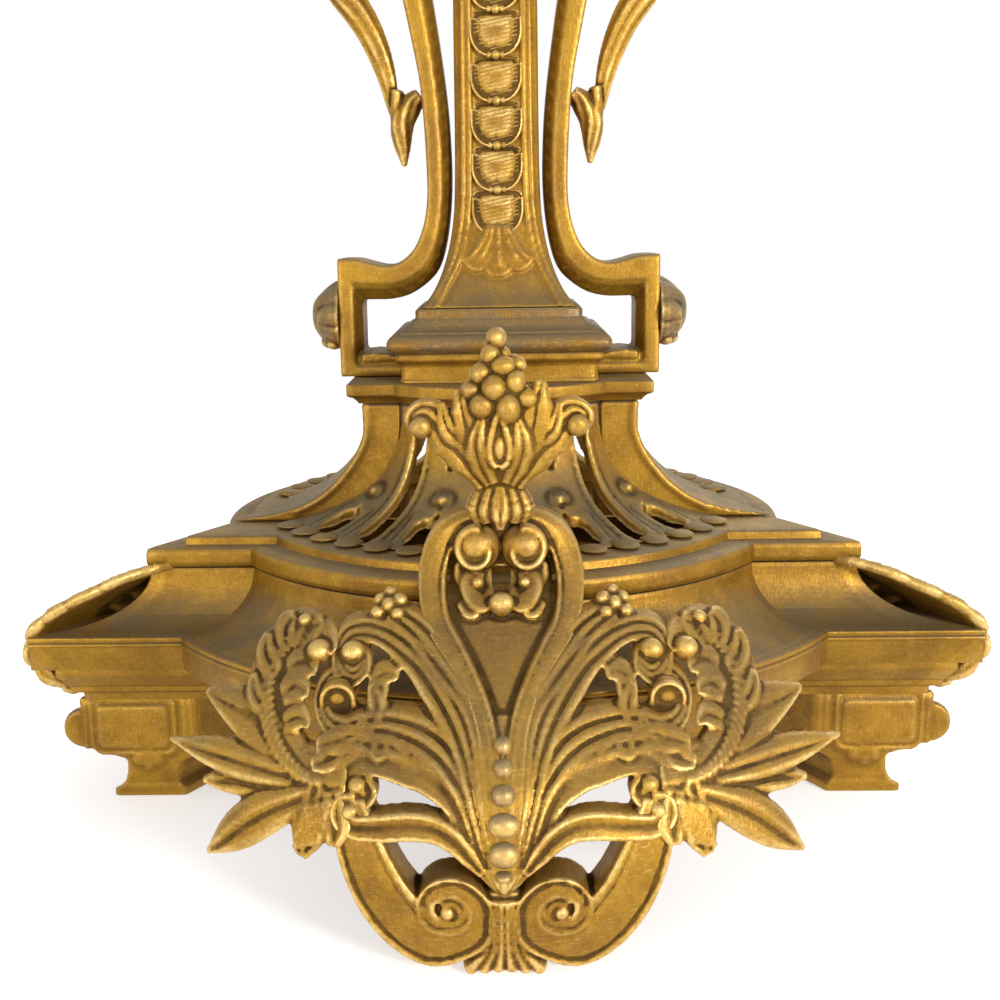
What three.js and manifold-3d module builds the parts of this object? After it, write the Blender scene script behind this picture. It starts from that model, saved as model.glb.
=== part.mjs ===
// Gilt torchere candle stand: a round plinth with two front wings on block feet and a pierced bell, a flared
// shaft between two scroll brackets, a pierced ornament with a scroll foot in front and behind, and a round
// top. Millimetres, +Z up, origin on the floor below the shaft's axis. Wings and brackets point along X, and
// the front is -Y. Every casting is a closed solid, clamped by one tie rod through the whole stack.
import * as THREE from "three";
import { mergeVertices } from "three/addons/utils/BufferGeometryUtils.js";
import Module from "manifold-3d";

const wasm = await Module();
wasm.setup();

// ---------------------------------------------------------------- driving dimensions

const GAP = 0.3; // left between castings that bear on each other
const CUT = 5; // how far a cutter runs past the face it cuts

// Winged plans: a circle, with a wing on each side whose front edge lies at -halfY and whose end slants back
// from halfX to the circle. The cap's wings are square instead.
const FASCIA = { radius: 245, halfX: 300, halfY: 139 };
const STEP = { radius: 194, halfX: 229.4, halfY: 108.1 };
const RISER = { radius: 176, halfX: 205.6, halfY: 99 };
const STEP_HOLE = { radius: 148, halfX: 158, halfY: 52 };
const CAP = { radius: 96, halfX: 101.2, halfY: 66, square: true };
const END_SLANT = Math.tan(Math.PI / 6); // mm inwards for each mm back along a wing's end

// Heights of the stack.
const NECK_BOTTOM = 71;
const FASCIA_BOTTOM = 100.2;
const FASCIA_TOP = 121.7;
const FASCIA_BEAD = 3.4;
const STEP_BOTTOM = 157.8;
const STEP_TOP = 171.5;
const RISER_TOP = 177.2;
const CAP_BOTTOM = 256.8;
const CAP_TOP = 270.7;
const DRUM_TOP = 290;
const MOULDING_TOP = 318;
const SHAFT_LOWER_TOP = 585;
const KNOP_TOP = 660;
const TOTAL_HEIGHT = 1100;
const CAPITAL_TOP = TOTAL_HEIGHT - 38;
const SHAFT_UPPER_TOP = CAPITAL_TOP - 72;

// Plinth castings.
const FASCIA_WALL = 7;
const FASCIA_LEDGE = 8;
const STEP_LAP = 11;
const STEP_WALL = 7;
const CAP_RIM = 16;
const NECK_INSET_TOP = 12;
const NECK_INSET_BOTTOM = 25;
const NECK_WALL = 26;

// End leaves, between these distances in front of the axis.
const END_LEAF_Y = [72, 134];
const END_LEAF_WALL = 5;

// Block feet.
const FOOT_BASE_X = [FASCIA.halfX - 87, FASCIA.halfX - 38];
const FOOT_ROLL_X = FASCIA.halfX - 7;
const FOOT_ROLL_RADIUS = 13;
const FOOT_TOP_X = FASCIA.halfX - 19;
const FOOT_ROLL_DROP = 9;
const FOOT_PAD = 6;
const FOOT_TAPER = 8;
const FOOT_Y = [48, 108];
const BACK_FOOT_ANGLE = 50; // degrees from the X axis
const STUD_Z = [46, 92];
const STUD_INSET = 16;

// Bell, ribs and pierced panels.
const RIB_FRONT = 60; // mm from the axis to the ribs' front flank
const RIB_BACK = 10; // mm from the axis to their back flank
const RIB_WALL = 8;
const PANEL_WALL = 7;
// Each opening in a pierced panel: its middle direction from the front, its half angle there, and the
// radii between which it runs, in degrees and millimetres. A bay with a boss has one above and one below.
const OPENINGS = [
  { at: 0, half: 6.5, from: 80, to: 158 },
  { at: 20, half: 4.2, from: 80, to: 101 },
  { at: 20, half: 5.6, from: 122, to: 158 },
  { at: 35.5, half: 3.6, from: 80, to: 158 },
  { at: 50.5, half: 3.4, from: 80, to: 99 },
  { at: 50.5, half: 4.2, from: 124, to: 156 },
];
const SIDE_OPENINGS = [
  { at: 66, half: 3.6, from: 80, to: 158 },
  { at: 80, half: 3.4, from: 80, to: 99 },
  { at: 80, half: 4.2, from: 124, to: 156 },
];
const OPENING_POINT = 9;

// Socle, shaft and top.
const DRUM_HALF = 65;
const DRUM_CORNER = 5;
const TORUS_HALF = 73.5;
const TORUS_ROLL = 6;
const SHAFT_FOOT_HALF = 52;
const SHAFT_HALF = 28;
const KNOP_RADIUS = 57;
const SHAFT_UPPER_RADIUS = 25;
const CAPITAL_RADIUS = 64;
const TOP_RADIUS = 150;
const TOP_WALL = 9;
const TOP_RIM = 26;
const TOP_DISC_RADIUS = 30;
const TOP_DISC_HEIGHT = 6;

// Scroll brackets.
const BRACKET_THICKNESS = 51;
const BRACKET_X = DRUM_HALF + GAP; // the inner end of the foot, from which all its X are measured
const BRACKET_FOOT_LENGTH = 44;
const BRACKET_FOOT_TOP = 351;
const BRACKET_BAR = 15.6;
const VOLUTE = { x: BRACKET_X + 38.7, z: 596, radius: 36 };
const SHELL_RADIUS = 31;
const SHELL_HEIGHT = 20;
const LEAF_THICKNESS = 22;

// The front ornament lies on a curved sheet, given by its distance in front of the axis at each height.
// Its foot stands clear of the fascia and its head clear of the step.
const SHEET = [
  [0, FASCIA.radius + 75], [35, FASCIA.radius + 83], [70, FASCIA.radius + 83], [100, FASCIA.radius + 71],
  [125, FASCIA.radius + 45], [145, (FASCIA.radius + STEP.radius) / 2 + 42.5], [160, STEP.radius + 46],
  [175, STEP.radius + 28], [190, STEP.radius + 18], [215, STEP.radius + 12], [330, STEP.radius + 9],
];
const SHEET_SWEEP = 500; // mm: the sheet falls back by x^2 / SHEET_SWEEP at the sides
const HEART_DEPTH = 17;
const STRAND_DEPTH = 14;
const LEAF_DEPTH = 8;
const SCROLL_FOOT_DEPTH = 26;
const SCROLL_FOOT_BAND = 27;
const LUG_HALF_WIDTH = 15; // the lug behind the heart, which bears on the step's edge
const LUG_Z = [159, 170];
const LUG_REACH = 38;
const BRIDGE = { halfWidth: 9, reach: [12, 28], z: [202, 213] }; // joins the heart's two scrolls at the top
const FINIAL_BOTTOM = 213 + GAP;
const FINIAL_REACH = 19.5;
const FINIAL_SQUASH = 0.62;

// Fasteners and the iron inside.
const ROD_RADIUS = 6;
const ROD_BORE = ROD_RADIUS + GAP;
const STACK_BORE = ROD_RADIUS + 3;
const SHAFT_BORE = 17;
const ROD_BOTTOM = 56;
const NUT_RADIUS = 12;
const NUT_HEIGHT = 10;
const WASHER_RADIUS = 20;
const WASHER_HEIGHT = 3;
const BAR_HALF_WIDTH = 13;
const BAR_Z = [73, 93];
const BAR_END = FASCIA.radius + 50;
const BOSS_DEPTH = 13;
const SCREW_RADIUS = 3.5;
const SCREW_HEAD_RADIUS = 5.6;
const SCREW_HEAD_HEIGHT = 4;
const SCREW_CLEARANCE = 0.3;
const MOUNT_SCREW_Z = 164.5;
const BRACKET_SCREW_Z = 277.6;

// ---------------------------------------------------------------- solids from three.js geometry

function solid(geometry) {
  const bare = geometry.index ? geometry.toNonIndexed() : geometry.clone();
  bare.deleteAttribute("normal");
  bare.deleteAttribute("uv");
  const merged = mergeVertices(bare, 1e-3);
  const body = new wasm.Manifold(
    new wasm.Mesh({
      numProp: 3,
      vertProperties: merged.attributes.position.array,
      triVerts: new Uint32Array(merged.index.array),
    }),
  );
  if (body.volume() > 0) return body;
  const turned = new Uint32Array(merged.index.array).reverse();
  return new wasm.Manifold(
    new wasm.Mesh({
      numProp: 3,
      vertProperties: merged.attributes.position.array,
      triVerts: turned,
    }),
  );
}

// A solid's largest connected body, as a geometry.
function geometryOf(body) {
  const pieces = body.decompose();
  pieces.sort((a, b) => b.volume() - a.volume());
  const mesh = pieces[0].getMesh();
  const geometry = new THREE.BufferGeometry();
  geometry.setAttribute("position", new THREE.BufferAttribute(new Float32Array(mesh.vertProperties), 3));
  geometry.setIndex(new THREE.BufferAttribute(new Uint32Array(mesh.triVerts), 1));
  geometry.computeVertexNormals();
  return geometry;
}

const join = (bodies) => bodies.reduce((all, next) => all.add(next));

// A closed solid through rings of equally many points, closed at both ends or joined end to start.
function loft(rings, endToStart = false) {
  const count = rings[0].length;
  const points = rings.flat();
  const faces = [];
  const last = endToStart ? rings.length : rings.length - 1;
  for (let i = 0; i < last; i += 1) {
    const lower = i * count;
    const upper = ((i + 1) % rings.length) * count;
    for (let j = 0; j < count; j += 1) {
      const next = (j + 1) % count;
      faces.push(lower + j, lower + next, upper + next);
      faces.push(lower + j, upper + next, upper + j);
    }
  }
  if (!endToStart) {
    for (const [start, ring, reversed] of [
      [0, rings[0], true],
      [(rings.length - 1) * count, rings.at(-1), false],
    ]) {
      const centre = points.length;
      const middle = new THREE.Vector3();
      for (const point of ring) middle.addScaledVector(point, 1 / count);
      points.push(middle);
      for (let j = 0; j < count; j += 1) {
        const next = (j + 1) % count;
        if (reversed) faces.push(start + next, start + j, centre);
        else faces.push(start + j, start + next, centre);
      }
    }
  }
  const geometry = new THREE.BufferGeometry().setFromPoints(points);
  geometry.setIndex(faces);
  return solid(geometry);
}

// A solid of revolution about Z: the profile is a list of [radius, z] that closes on itself.
function lathe(profile, segments = 20) {
  const points = [...profile, profile[0]].map(([r, z]) => new THREE.Vector2(r, z));
  return solid(new THREE.LatheGeometry(points, segments).rotateX(Math.PI / 2));
}

// A solid of revolution with a bore: the outer profile is given from its bottom to its top.
function bored(outer, bore, segments = 20) {
  return lathe([[bore, outer[0][1]], ...outer, [bore, outer.at(-1)[1]]], segments);
}

function cylinder(radius, from, to, segments = 12) {
  const axis = new THREE.Vector3().subVectors(to, from);
  const geometry = new THREE.CylinderGeometry(radius, radius, axis.length(), segments);
  geometry.applyQuaternion(new THREE.Quaternion().setFromUnitVectors(
    new THREE.Vector3(0, 1, 0),
    axis.clone().normalize(),
  ));
  geometry.translate(...new THREE.Vector3().addVectors(from, to).multiplyScalar(0.5).toArray());
  return solid(geometry);
}

function box(low, high) {
  const geometry = new THREE.BoxGeometry(high[0] - low[0], high[1] - low[1], high[2] - low[2]);
  geometry.translate((low[0] + high[0]) / 2, (low[1] + high[1]) / 2, (low[2] + high[2]) / 2);
  return solid(geometry);
}

const upright = (radius, x, y, z0, z1, segments = 12) =>
  cylinder(radius, new THREE.Vector3(x, y, z0), new THREE.Vector3(x, y, z1), segments);

// An outline drawn in X and Z, given a thickness along Y about y = 0. Side -1 mirrors it in X.
function slab(outline, thickness, side = 1) {
  const shape = new THREE.Shape(outline.map(([x, z]) => new THREE.Vector2(side * x, z)));
  const geometry = new THREE.ExtrudeGeometry(shape, { depth: thickness, bevelEnabled: false });
  return solid(geometry.translate(0, 0, -thickness / 2).rotateX(Math.PI / 2));
}

const smooth = (points, steps) =>
  new THREE.SplineCurve(points.map(([x, z]) => new THREE.Vector2(x, z)))
    .getPoints(steps)
    .map((point) => [point.x, point.y]);

// ---------------------------------------------------------------- rings of the plan

const ARC_STEPS = 8;
const BACK_ARC_STEPS = 15;
const CORNER_STEPS = 4;

function grown(plan, by) {
  return { ...plan, radius: plan.radius + by, halfX: plan.halfX + by, halfY: plan.halfY + by };
}

function between(a, b, t) {
  const mix = (key) => THREE.MathUtils.lerp(a[key], b[key], t);
  return { radius: mix("radius"), halfX: mix("halfX"), halfY: mix("halfY") };
}

// Where the slanted end of the right wing meets the circle.
function slantEnd({ radius, halfX, halfY }) {
  const along = new THREE.Vector2(-END_SLANT, 1).normalize();
  const corner = new THREE.Vector2(halfX, -halfY);
  const middle = -corner.dot(along);
  const reach = middle - Math.sqrt(radius ** 2 - corner.lengthSq() + middle ** 2);
  return corner.addScaledVector(along, reach);
}

// The plan's outline, anticlockwise from the right wing's front corner, at height z.
function planRing(plan, z) {
  const { radius, halfX, halfY, square } = plan;
  const front = Math.asin(halfY / radius);
  const ring = [new THREE.Vector3(halfX, -halfY, z)];
  const arc = (from, to, steps) => {
    for (let i = 0; i <= steps; i += 1) {
      const angle = THREE.MathUtils.lerp(from, to, i / steps);
      ring.push(new THREE.Vector3(radius * Math.cos(angle), radius * Math.sin(angle), z));
    }
  };
  if (square) {
    ring.push(new THREE.Vector3(halfX, halfY, z));
    arc(front, Math.PI - front, ARC_STEPS);
    ring.push(new THREE.Vector3(-halfX, halfY, z));
  } else {
    const end = slantEnd(plan);
    const back = Math.atan2(end.y, end.x);
    arc(back, Math.PI - back, BACK_ARC_STEPS);
  }
  ring.push(new THREE.Vector3(-halfX, -halfY, z));
  arc(Math.PI + front, 2 * Math.PI - front, ARC_STEPS);
  return ring;
}

// A square outline with rounded corners at height z, anticlockwise.
function squareRing(half, corner, z) {
  const ring = [];
  for (let i = 0; i < 4; i += 1) {
    const turn = (Math.PI / 2) * i;
    for (let j = 0; j <= CORNER_STEPS; j += 1) {
      const angle = turn + ((Math.PI / 2) * j) / CORNER_STEPS;
      const centre = new THREE.Vector2(half - corner, half - corner);
      const point = centre.rotateAround(new THREE.Vector2(), turn)
        .add(new THREE.Vector2(corner * Math.cos(angle), corner * Math.sin(angle)));
      ring.push(new THREE.Vector3(point.x, point.y, z));
    }
  }
  return ring;
}

// Shears a piece on the front of a wing so that it follows the wing's slanted end.
function slanted(body, side, pivotY) {
  const slope = -side * END_SLANT;
  return body.transform([1, 0, 0, 0, slope, 1, 0, 0, 0, 0, 1, 0, -slope * pivotY, 0, 0, 1]);
}

// ---------------------------------------------------------------- the ornament's curved sheet

function sheetDistance(z) {
  const heights = SHEET.map(([height]) => height);
  const k = Math.max(1, heights.findIndex((height) => height >= z));
  const [z0, d0] = SHEET[k - 1];
  const [z1, d1] = SHEET[k];
  return THREE.MathUtils.lerp(d0, d1, THREE.MathUtils.clamp((z - z0) / (z1 - z0), 0, 1));
}

// The point of the sheet at x and z, set back by the given depth.
const onSheet = (x, z, back = 0) =>
  new THREE.Vector3(x, -sheetDistance(Math.max(z, 0)) + (x * x) / SHEET_SWEEP + back, z);

function widthAt(widths, t) {
  const place = t * (widths.length - 1);
  const k = Math.min(Math.floor(place), widths.length - 2);
  return THREE.MathUtils.lerp(widths[k], widths[k + 1], place - k);
}

// A flat-sided band along a path in X and Z, its widths spaced evenly along it, lying on the sheet.
function band(path, widths, depth, { steps = 8, front = 0, grow = 0 } = {}) {
  const curve = new THREE.SplineCurve(path.map(([x, z]) => new THREE.Vector2(x, z)));
  const rings = [];
  for (let i = 0; i <= steps; i += 1) {
    const t = i / steps;
    const at = curve.getPoint(t);
    const along = curve.getTangent(t);
    const half = widthAt(widths, t) / 2 + grow;
    const side = new THREE.Vector2(-along.y, along.x).multiplyScalar(half);
    const near = front - grow;
    const far = front + depth + grow;
    rings.push([
      onSheet(at.x - side.x, at.y - side.y, near),
      onSheet(at.x + side.x, at.y + side.y, near),
      onSheet(at.x + side.x, at.y + side.y, far),
      onSheet(at.x - side.x, at.y - side.y, far),
    ]);
  }
  return loft(rings);
}

// A round button, such as a volute's eye, square to the Y axis.
function button([x, z], radius, depth, { front = 0, grow = 0, segments = 10 } = {}) {
  const face = onSheet(x, z, front - grow);
  const back = face.clone().add(new THREE.Vector3(0, depth + 2 * grow, 0));
  return cylinder(radius + grow, face, back, segments);
}

const mirrored = (path, side) => path.map(([x, z]) => [side * x, z]);

// ---------------------------------------------------------------- plinth

// The plinth's outer rings from its lower edge to its top, grown outwards and upwards.
function plinthFace(grow = 0) {
  const slopeStart = grown(FASCIA, grow - FASCIA_LEDGE);
  const slopeEnd = grown(STEP, grow - 2);
  const slopeTop = STEP_BOTTOM - GAP;
  const beadBottom = FASCIA_TOP - FASCIA_BEAD;
  const rings = [
    planRing(grown(FASCIA, grow - 1), FASCIA_BOTTOM - grow),
    planRing(grown(FASCIA, grow - 1), beadBottom - grow),
    planRing(grown(FASCIA, grow), beadBottom - grow),
    planRing(grown(FASCIA, grow), FASCIA_TOP + grow),
  ];
  const slopeSteps = 6;
  for (let i = 0; i <= slopeSteps; i += 1) {
    const angle = (Math.PI / 2) * (i / slopeSteps);
    const rise = i ? (slopeTop - FASCIA_TOP) * (1 - Math.cos(angle)) : 0.2;
    rings.push(planRing(between(slopeStart, slopeEnd, Math.sin(angle)), FASCIA_TOP + grow + rise));
  }
  return rings;
}

function plinth() {
  const slopeTop = STEP_BOTTOM - GAP;
  const inner = [
    planRing(grown(STEP, -STEP_LAP), slopeTop),
    planRing(grown(STEP, -STEP_LAP), slopeTop - 12),
    planRing(between(grown(FASCIA, -FASCIA_WALL), grown(STEP, -STEP_LAP), 0.4), FASCIA_TOP - 2),
    planRing(grown(FASCIA, -FASCIA_WALL - FASCIA_LEDGE), FASCIA_TOP - FASCIA_WALL),
    planRing(grown(FASCIA, -FASCIA_WALL - FASCIA_LEDGE), FASCIA_BOTTOM),
  ];
  return loft([...plinthFace(), ...inner], true);
}

function spineBar(clearance = 0) {
  const half = BAR_HALF_WIDTH + clearance;
  const end = BAR_END + clearance;
  return box([-half, -end, BAR_Z[0] - clearance], [half, end, BAR_Z[1] + clearance]);
}

function plinthNeck() {
  const rings = [
    planRing(grown(FASCIA, -NECK_INSET_BOTTOM), NECK_BOTTOM),
    planRing(grown(FASCIA, -NECK_INSET_BOTTOM), NECK_BOTTOM + 6),
    planRing(grown(FASCIA, -NECK_INSET_BOTTOM + 6), NECK_BOTTOM + 12),
    planRing(grown(FASCIA, -NECK_INSET_TOP), FASCIA_BOTTOM - 5),
    planRing(grown(FASCIA, -NECK_INSET_TOP), FASCIA_BOTTOM - GAP),
    planRing(grown(FASCIA, -NECK_INSET_BOTTOM - NECK_WALL), FASCIA_BOTTOM - GAP),
    planRing(grown(FASCIA, -NECK_INSET_BOTTOM - NECK_WALL), NECK_BOTTOM),
  ];
  const studs = [-1, 1].flatMap((side) => [footStud(side, SCREW_CLEARANCE), backStud(side, SCREW_CLEARANCE)]);
  return loft(rings, true).subtract(spineBar(GAP)).subtract(join(studs));
}

function upperStep() {
  const rings = [
    planRing(grown(STEP, -4), STEP_BOTTOM),
    planRing(STEP, STEP_BOTTOM + 3),
    planRing(STEP, STEP_TOP - 2.5),
    planRing(grown(STEP, -2.5), STEP_TOP),
    planRing(RISER, STEP_TOP + 0.2),
    planRing(grown(RISER, -0.6), RISER_TOP - GAP),
    planRing(STEP_HOLE, RISER_TOP - GAP),
    planRing(STEP_HOLE, STEP_TOP - STEP_WALL),
    planRing(grown(STEP, -STEP_LAP), STEP_TOP - STEP_WALL),
    planRing(grown(STEP, -STEP_LAP), STEP_BOTTOM),
  ];
  return loft(rings, true).subtract(mountScrew(SCREW_CLEARANCE)).subtract(
    turnedHalf(mountScrew(SCREW_CLEARANCE)));
}

const turnedHalf = (body) => body.rotate([0, 0, 180]);

// ---------------------------------------------------------------- block feet

// The stud that holds a foot to the neck, in the middle of the neck's front wall.
function footStud(side, clearance = 0) {
  const x = side * (FASCIA.halfX - NECK_INSET_BOTTOM - NECK_WALL);
  const y = -(FASCIA.halfY - NECK_INSET_BOTTOM - STUD_INSET);
  return upright(SCREW_RADIUS + clearance, x, y, STUD_Z[0] - clearance, STUD_Z[1] + clearance);
}

// A foot's solid under the right wing, before it is slanted or turned to its place.
function footBody() {
  const top = NECK_BOTTOM - GAP;
  const rollZ = top - FOOT_ROLL_DROP - FOOT_ROLL_RADIUS;
  const rollX = FOOT_ROLL_X - FOOT_ROLL_RADIUS;
  const [baseIn, baseOut] = FOOT_BASE_X;
  const outline = [
    [baseIn, 0], [baseOut, 0], [baseOut, FOOT_PAD], [baseOut - FOOT_TAPER, 2 * FOOT_PAD], [baseOut - 10, 26],
  ];
  for (let i = 0; i <= 8; i += 1) {
    const angle = -Math.PI / 2 + (Math.PI * i) / 8;
    outline.push([rollX + FOOT_ROLL_RADIUS * Math.cos(angle), rollZ + FOOT_ROLL_RADIUS * Math.sin(angle)]);
  }
  outline.push(
    [FOOT_TOP_X, top - 7], [FOOT_TOP_X, top], [baseIn - 11, top], [baseIn - 11, 30], [baseIn + 3, 24],
    [baseIn + 5, 2 * FOOT_PAD], [baseIn, FOOT_PAD],
  );
  return slab(outline, FOOT_Y[1] - FOOT_Y[0]);
}

function frontFoot(side) {
  const body = footBody().translate([0, -(FOOT_Y[0] + FOOT_Y[1]) / 2, 0]);
  const placed = slanted(body, 1, -FOOT_Y[1]);
  return (side > 0 ? placed : placed.mirror([1, 0, 0])).subtract(footStud(side, SCREW_CLEARANCE));
}

// A back foot stands under the round back of the plinth, turned to face outwards.
const towardsBack = (body, side) => body.rotate([0, 0, side > 0 ? BACK_FOOT_ANGLE : 180 - BACK_FOOT_ANGLE]);

function backStud(side, clearance = 0) {
  const reach = FASCIA.radius - NECK_INSET_BOTTOM - NECK_WALL / 2;
  const stud = upright(SCREW_RADIUS + clearance, reach, 0, STUD_Z[0] - clearance, STUD_Z[1] + clearance);
  return towardsBack(stud, side);
}

function backFoot(side) {
  return towardsBack(footBody().translate([FASCIA.radius - FASCIA.halfX, 0, 0]), side)
    .subtract(backStud(side, SCREW_CLEARANCE));
}

// ---------------------------------------------------------------- end leaves

function endLeaf(side) {
  const spine = smooth(
    [[-68, 161.5], [-54, 158], [-36, 149], [-16, 138], [-2, 126.5], [5.5, 112], [5, 96], [0.5, 84], [3, 74]],
    10,
  ).map(([x, z]) => [FASCIA.halfX + x, z]);
  const inner = spine.map(([x, z], i) => {
    const [ax, az] = spine[Math.max(0, i - 1)];
    const [bx, bz] = spine[Math.min(spine.length - 1, i + 1)];
    const length = Math.hypot(bx - ax, bz - az);
    return [x + (END_LEAF_WALL * (bz - az)) / length, z - (END_LEAF_WALL * (bx - ax)) / length];
  });
  const [back, front] = END_LEAF_Y;
  const leaf = slab([...spine, ...inner.reverse()], front - back, side).translate([0, -(front + back) / 2, 0]);
  const lobes = [
    upright(40, side * (FASCIA.halfX + 16), -(front + 18), 60, 180, 20),
    upright(22, side * (FASCIA.halfX - 54), -(front + 8), 60, 180, 16),
    upright(34, side * (FASCIA.halfX + 12), -(back - 22), 60, 180, 20),
  ];
  return slanted(leaf.subtract(join(lobes)), side, -FASCIA.halfY).subtract(plinthEnvelope());
}

// The plinth and step, a running gap larger, for cutting what bears on them.
function plinthEnvelope() {
  const step = loft([planRing(grown(STEP, GAP), STEP_BOTTOM - GAP), planRing(grown(STEP, GAP), STEP_TOP + 3)]);
  return step.add(loft(plinthFace(GAP)));
}

// ---------------------------------------------------------------- ribs, panels and cap

const bellProfile = [
  [169, RISER_TOP], [148, 180.5], [120, 191.5], [102, 207], [92, 230], [89, CAP_BOTTOM - GAP],
];
const ribFace = [
  [92.5, CAP_BOTTOM - GAP], [90.8, 244.5], [92, 235.6], [100.9, 217], [110, 205.9], [120.4, 196.5],
  [131.7, 189.5], [146.3, 183.8], [163.1, 180.4], [182, 178.6], [204, RISER_TOP + 0.8], [204, RISER_TOP],
];

// The bell as a surface of revolution, with a wall behind its outer profile.
function bell(wall) {
  const outer = bellProfile.map(([r, z]) => new THREE.Vector2(r, z));
  const offset = (distance) => outer.map((point, i) => {
    const along = new THREE.Vector2().subVectors(
      outer[Math.min(i + 1, outer.length - 1)],
      outer[Math.max(i - 1, 0)],
    ).normalize();
    const z = THREE.MathUtils.clamp(point.y + distance * along.x * -1, RISER_TOP, CAP_BOTTOM - GAP);
    return [point.x + distance * along.y, z];
  });
  return lathe([...offset(0), ...offset(-wall).reverse()], 36);
}

// The panel in front of the given distance from the axis.
function piercedPanel(edge, bays) {
  const room = box([-200, -200, 150], [200, -(edge + GAP), 300]);
  let panel = bell(PANEL_WALL).intersect(room);
  const openings = bays.flatMap((opening) =>
    (opening.at ? [opening, { ...opening, at: -opening.at }] : [opening]));
  for (const { at, half, from, to } of openings) {
    const corner = (r, edge) => {
      const angle = THREE.MathUtils.degToRad(at + edge * half - 90);
      return new THREE.Vector2(r * Math.cos(angle), r * Math.sin(angle));
    };
    const shape = new THREE.Shape(
      [corner(from, -1), corner(to - OPENING_POINT, -1), corner(to, 0), corner(to - OPENING_POINT, 1),
        corner(from, 1)],
    );
    const cutter = new THREE.ExtrudeGeometry(shape, { depth: CAP_BOTTOM - 14 - RISER_TOP, bevelEnabled: false });
    panel = panel.subtract(solid(cutter.translate(0, 0, RISER_TOP)));
  }
  return panel;
}

function rib(side) {
  const foot = RISER_TOP;
  const inside = [[66, foot], [66, CAP_BOTTOM - GAP]];
  const middle = [0, (RIB_BACK - RIB_FRONT) / 2, 0];
  const riser = loft([planRing(grown(RISER, -1.5), foot - CUT), planRing(grown(RISER, -1.5), CAP_TOP)]);
  const whole = slab([...ribFace, ...inside], RIB_FRONT + RIB_BACK, side).translate(middle).intersect(riser);
  const pocket = ribFace.slice(1, -1).map(([x, z]) => [x - RIB_WALL, z - RIB_WALL * 0.8]);
  const clipped = pocket.filter(([, z]) => z > foot + 1);
  const hollow = slab(
    [...clipped, [150, foot + 1], [150, foot - CUT], [50, foot - CUT], [50, CAP_BOTTOM - RIB_WALL]],
    RIB_FRONT + RIB_BACK - 2 * RIB_WALL,
    side,
  ).translate(middle);
  const insideBell = lathe(
    [[0.5, foot - CUT], ...bellProfile.map(([r, z]) => [r - PANEL_WALL, z]).map(([r, z], i) =>
      (i === 0 ? [r, foot - CUT] : [r, z])), [81, CAP_BOTTOM + CUT], [0.5, CAP_BOTTOM + CUT]],
    36,
  );
  return whole.subtract(hollow).subtract(insideBell);
}

function bellCap() {
  const rings = [
    planRing(grown(CAP, -7), CAP_BOTTOM),
    planRing(grown(CAP, -4), CAP_BOTTOM + 4),
    planRing(grown(CAP, -0.5), CAP_BOTTOM + 7),
    planRing(CAP, CAP_TOP - 3),
    planRing(grown(CAP, -0.6), CAP_TOP - GAP),
  ];
  const hollow = loft([
    planRing(grown(CAP, -CAP_RIM), CAP_BOTTOM - CUT),
    planRing(grown(CAP, -CAP_RIM), CAP_TOP - STEP_WALL),
  ]);
  const bore = upright(STACK_BORE, 0, 0, CAP_BOTTOM - CUT, CAP_TOP + CUT);
  return loft(rings).subtract(hollow).subtract(bore);
}

// ---------------------------------------------------------------- socle, shaft and top

// A square moulding with a round bore, from its profile of [half width, z].
function squareMoulding(profile, corner, bore) {
  const [bottom, top] = [profile[0][1], profile.at(-1)[1]];
  return loft(profile.map(([half, z]) => squareRing(half, corner, z)))
    .subtract(upright(bore, 0, 0, bottom - CUT, top + CUT));
}

const socleDrum = () => squareMoulding(
  [[DRUM_HALF, CAP_TOP], [DRUM_HALF, DRUM_TOP - 7], [DRUM_HALF + 3.4, DRUM_TOP - 5],
    [DRUM_HALF + 3.4, DRUM_TOP - GAP]],
  DRUM_CORNER,
  STACK_BORE,
).subtract(bracketScrew(1, SCREW_CLEARANCE)).subtract(bracketScrew(-1, SCREW_CLEARANCE));

function socleMoulding() {
  const profile = [];
  for (let i = 0; i <= 4; i += 1) {
    const angle = -Math.PI / 2 + (Math.PI * i) / 4;
    profile.push([TORUS_HALF - TORUS_ROLL + TORUS_ROLL * Math.cos(angle),
      DRUM_TOP + TORUS_ROLL + TORUS_ROLL * Math.sin(angle)]);
  }
  profile.push([TORUS_HALF - 8, 304], [TORUS_HALF - 15, 310], [SHAFT_FOOT_HALF + 2, MOULDING_TOP - GAP]);
  return squareMoulding(profile, DRUM_CORNER, STACK_BORE);
}

// The lower shaft is square: its height, half width and corner radius at each station.
const shaftStations = [
  [MOULDING_TOP, SHAFT_FOOT_HALF, 5], [325, 45.8, 6], [335, 40.2, 7], [347, 35.8, 8], [362, 32, 8],
  [386, 29, 8], [430, SHAFT_HALF, 8], [SHAFT_LOWER_TOP - 20, SHAFT_HALF - 1, 8],
  [SHAFT_LOWER_TOP - GAP, SHAFT_HALF + 2, 14],
];

const shaftLower = () => loft(shaftStations.map(([z, half, corner]) => squareRing(half, corner, z)))
  .subtract(upright(SHAFT_BORE, 0, 0, MOULDING_TOP - CUT, SHAFT_LOWER_TOP + CUT));

const shaftKnop = () => bored(
  [[34, SHAFT_LOWER_TOP], [36, SHAFT_LOWER_TOP + 8], [48, SHAFT_LOWER_TOP + 14],
    [KNOP_RADIUS, SHAFT_LOWER_TOP + 24], [KNOP_RADIUS, SHAFT_LOWER_TOP + 32], [48, SHAFT_LOWER_TOP + 44],
    [33, SHAFT_LOWER_TOP + 54], [30, SHAFT_LOWER_TOP + 64], [36, KNOP_TOP - GAP]],
  STACK_BORE,
  20,
);

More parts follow.
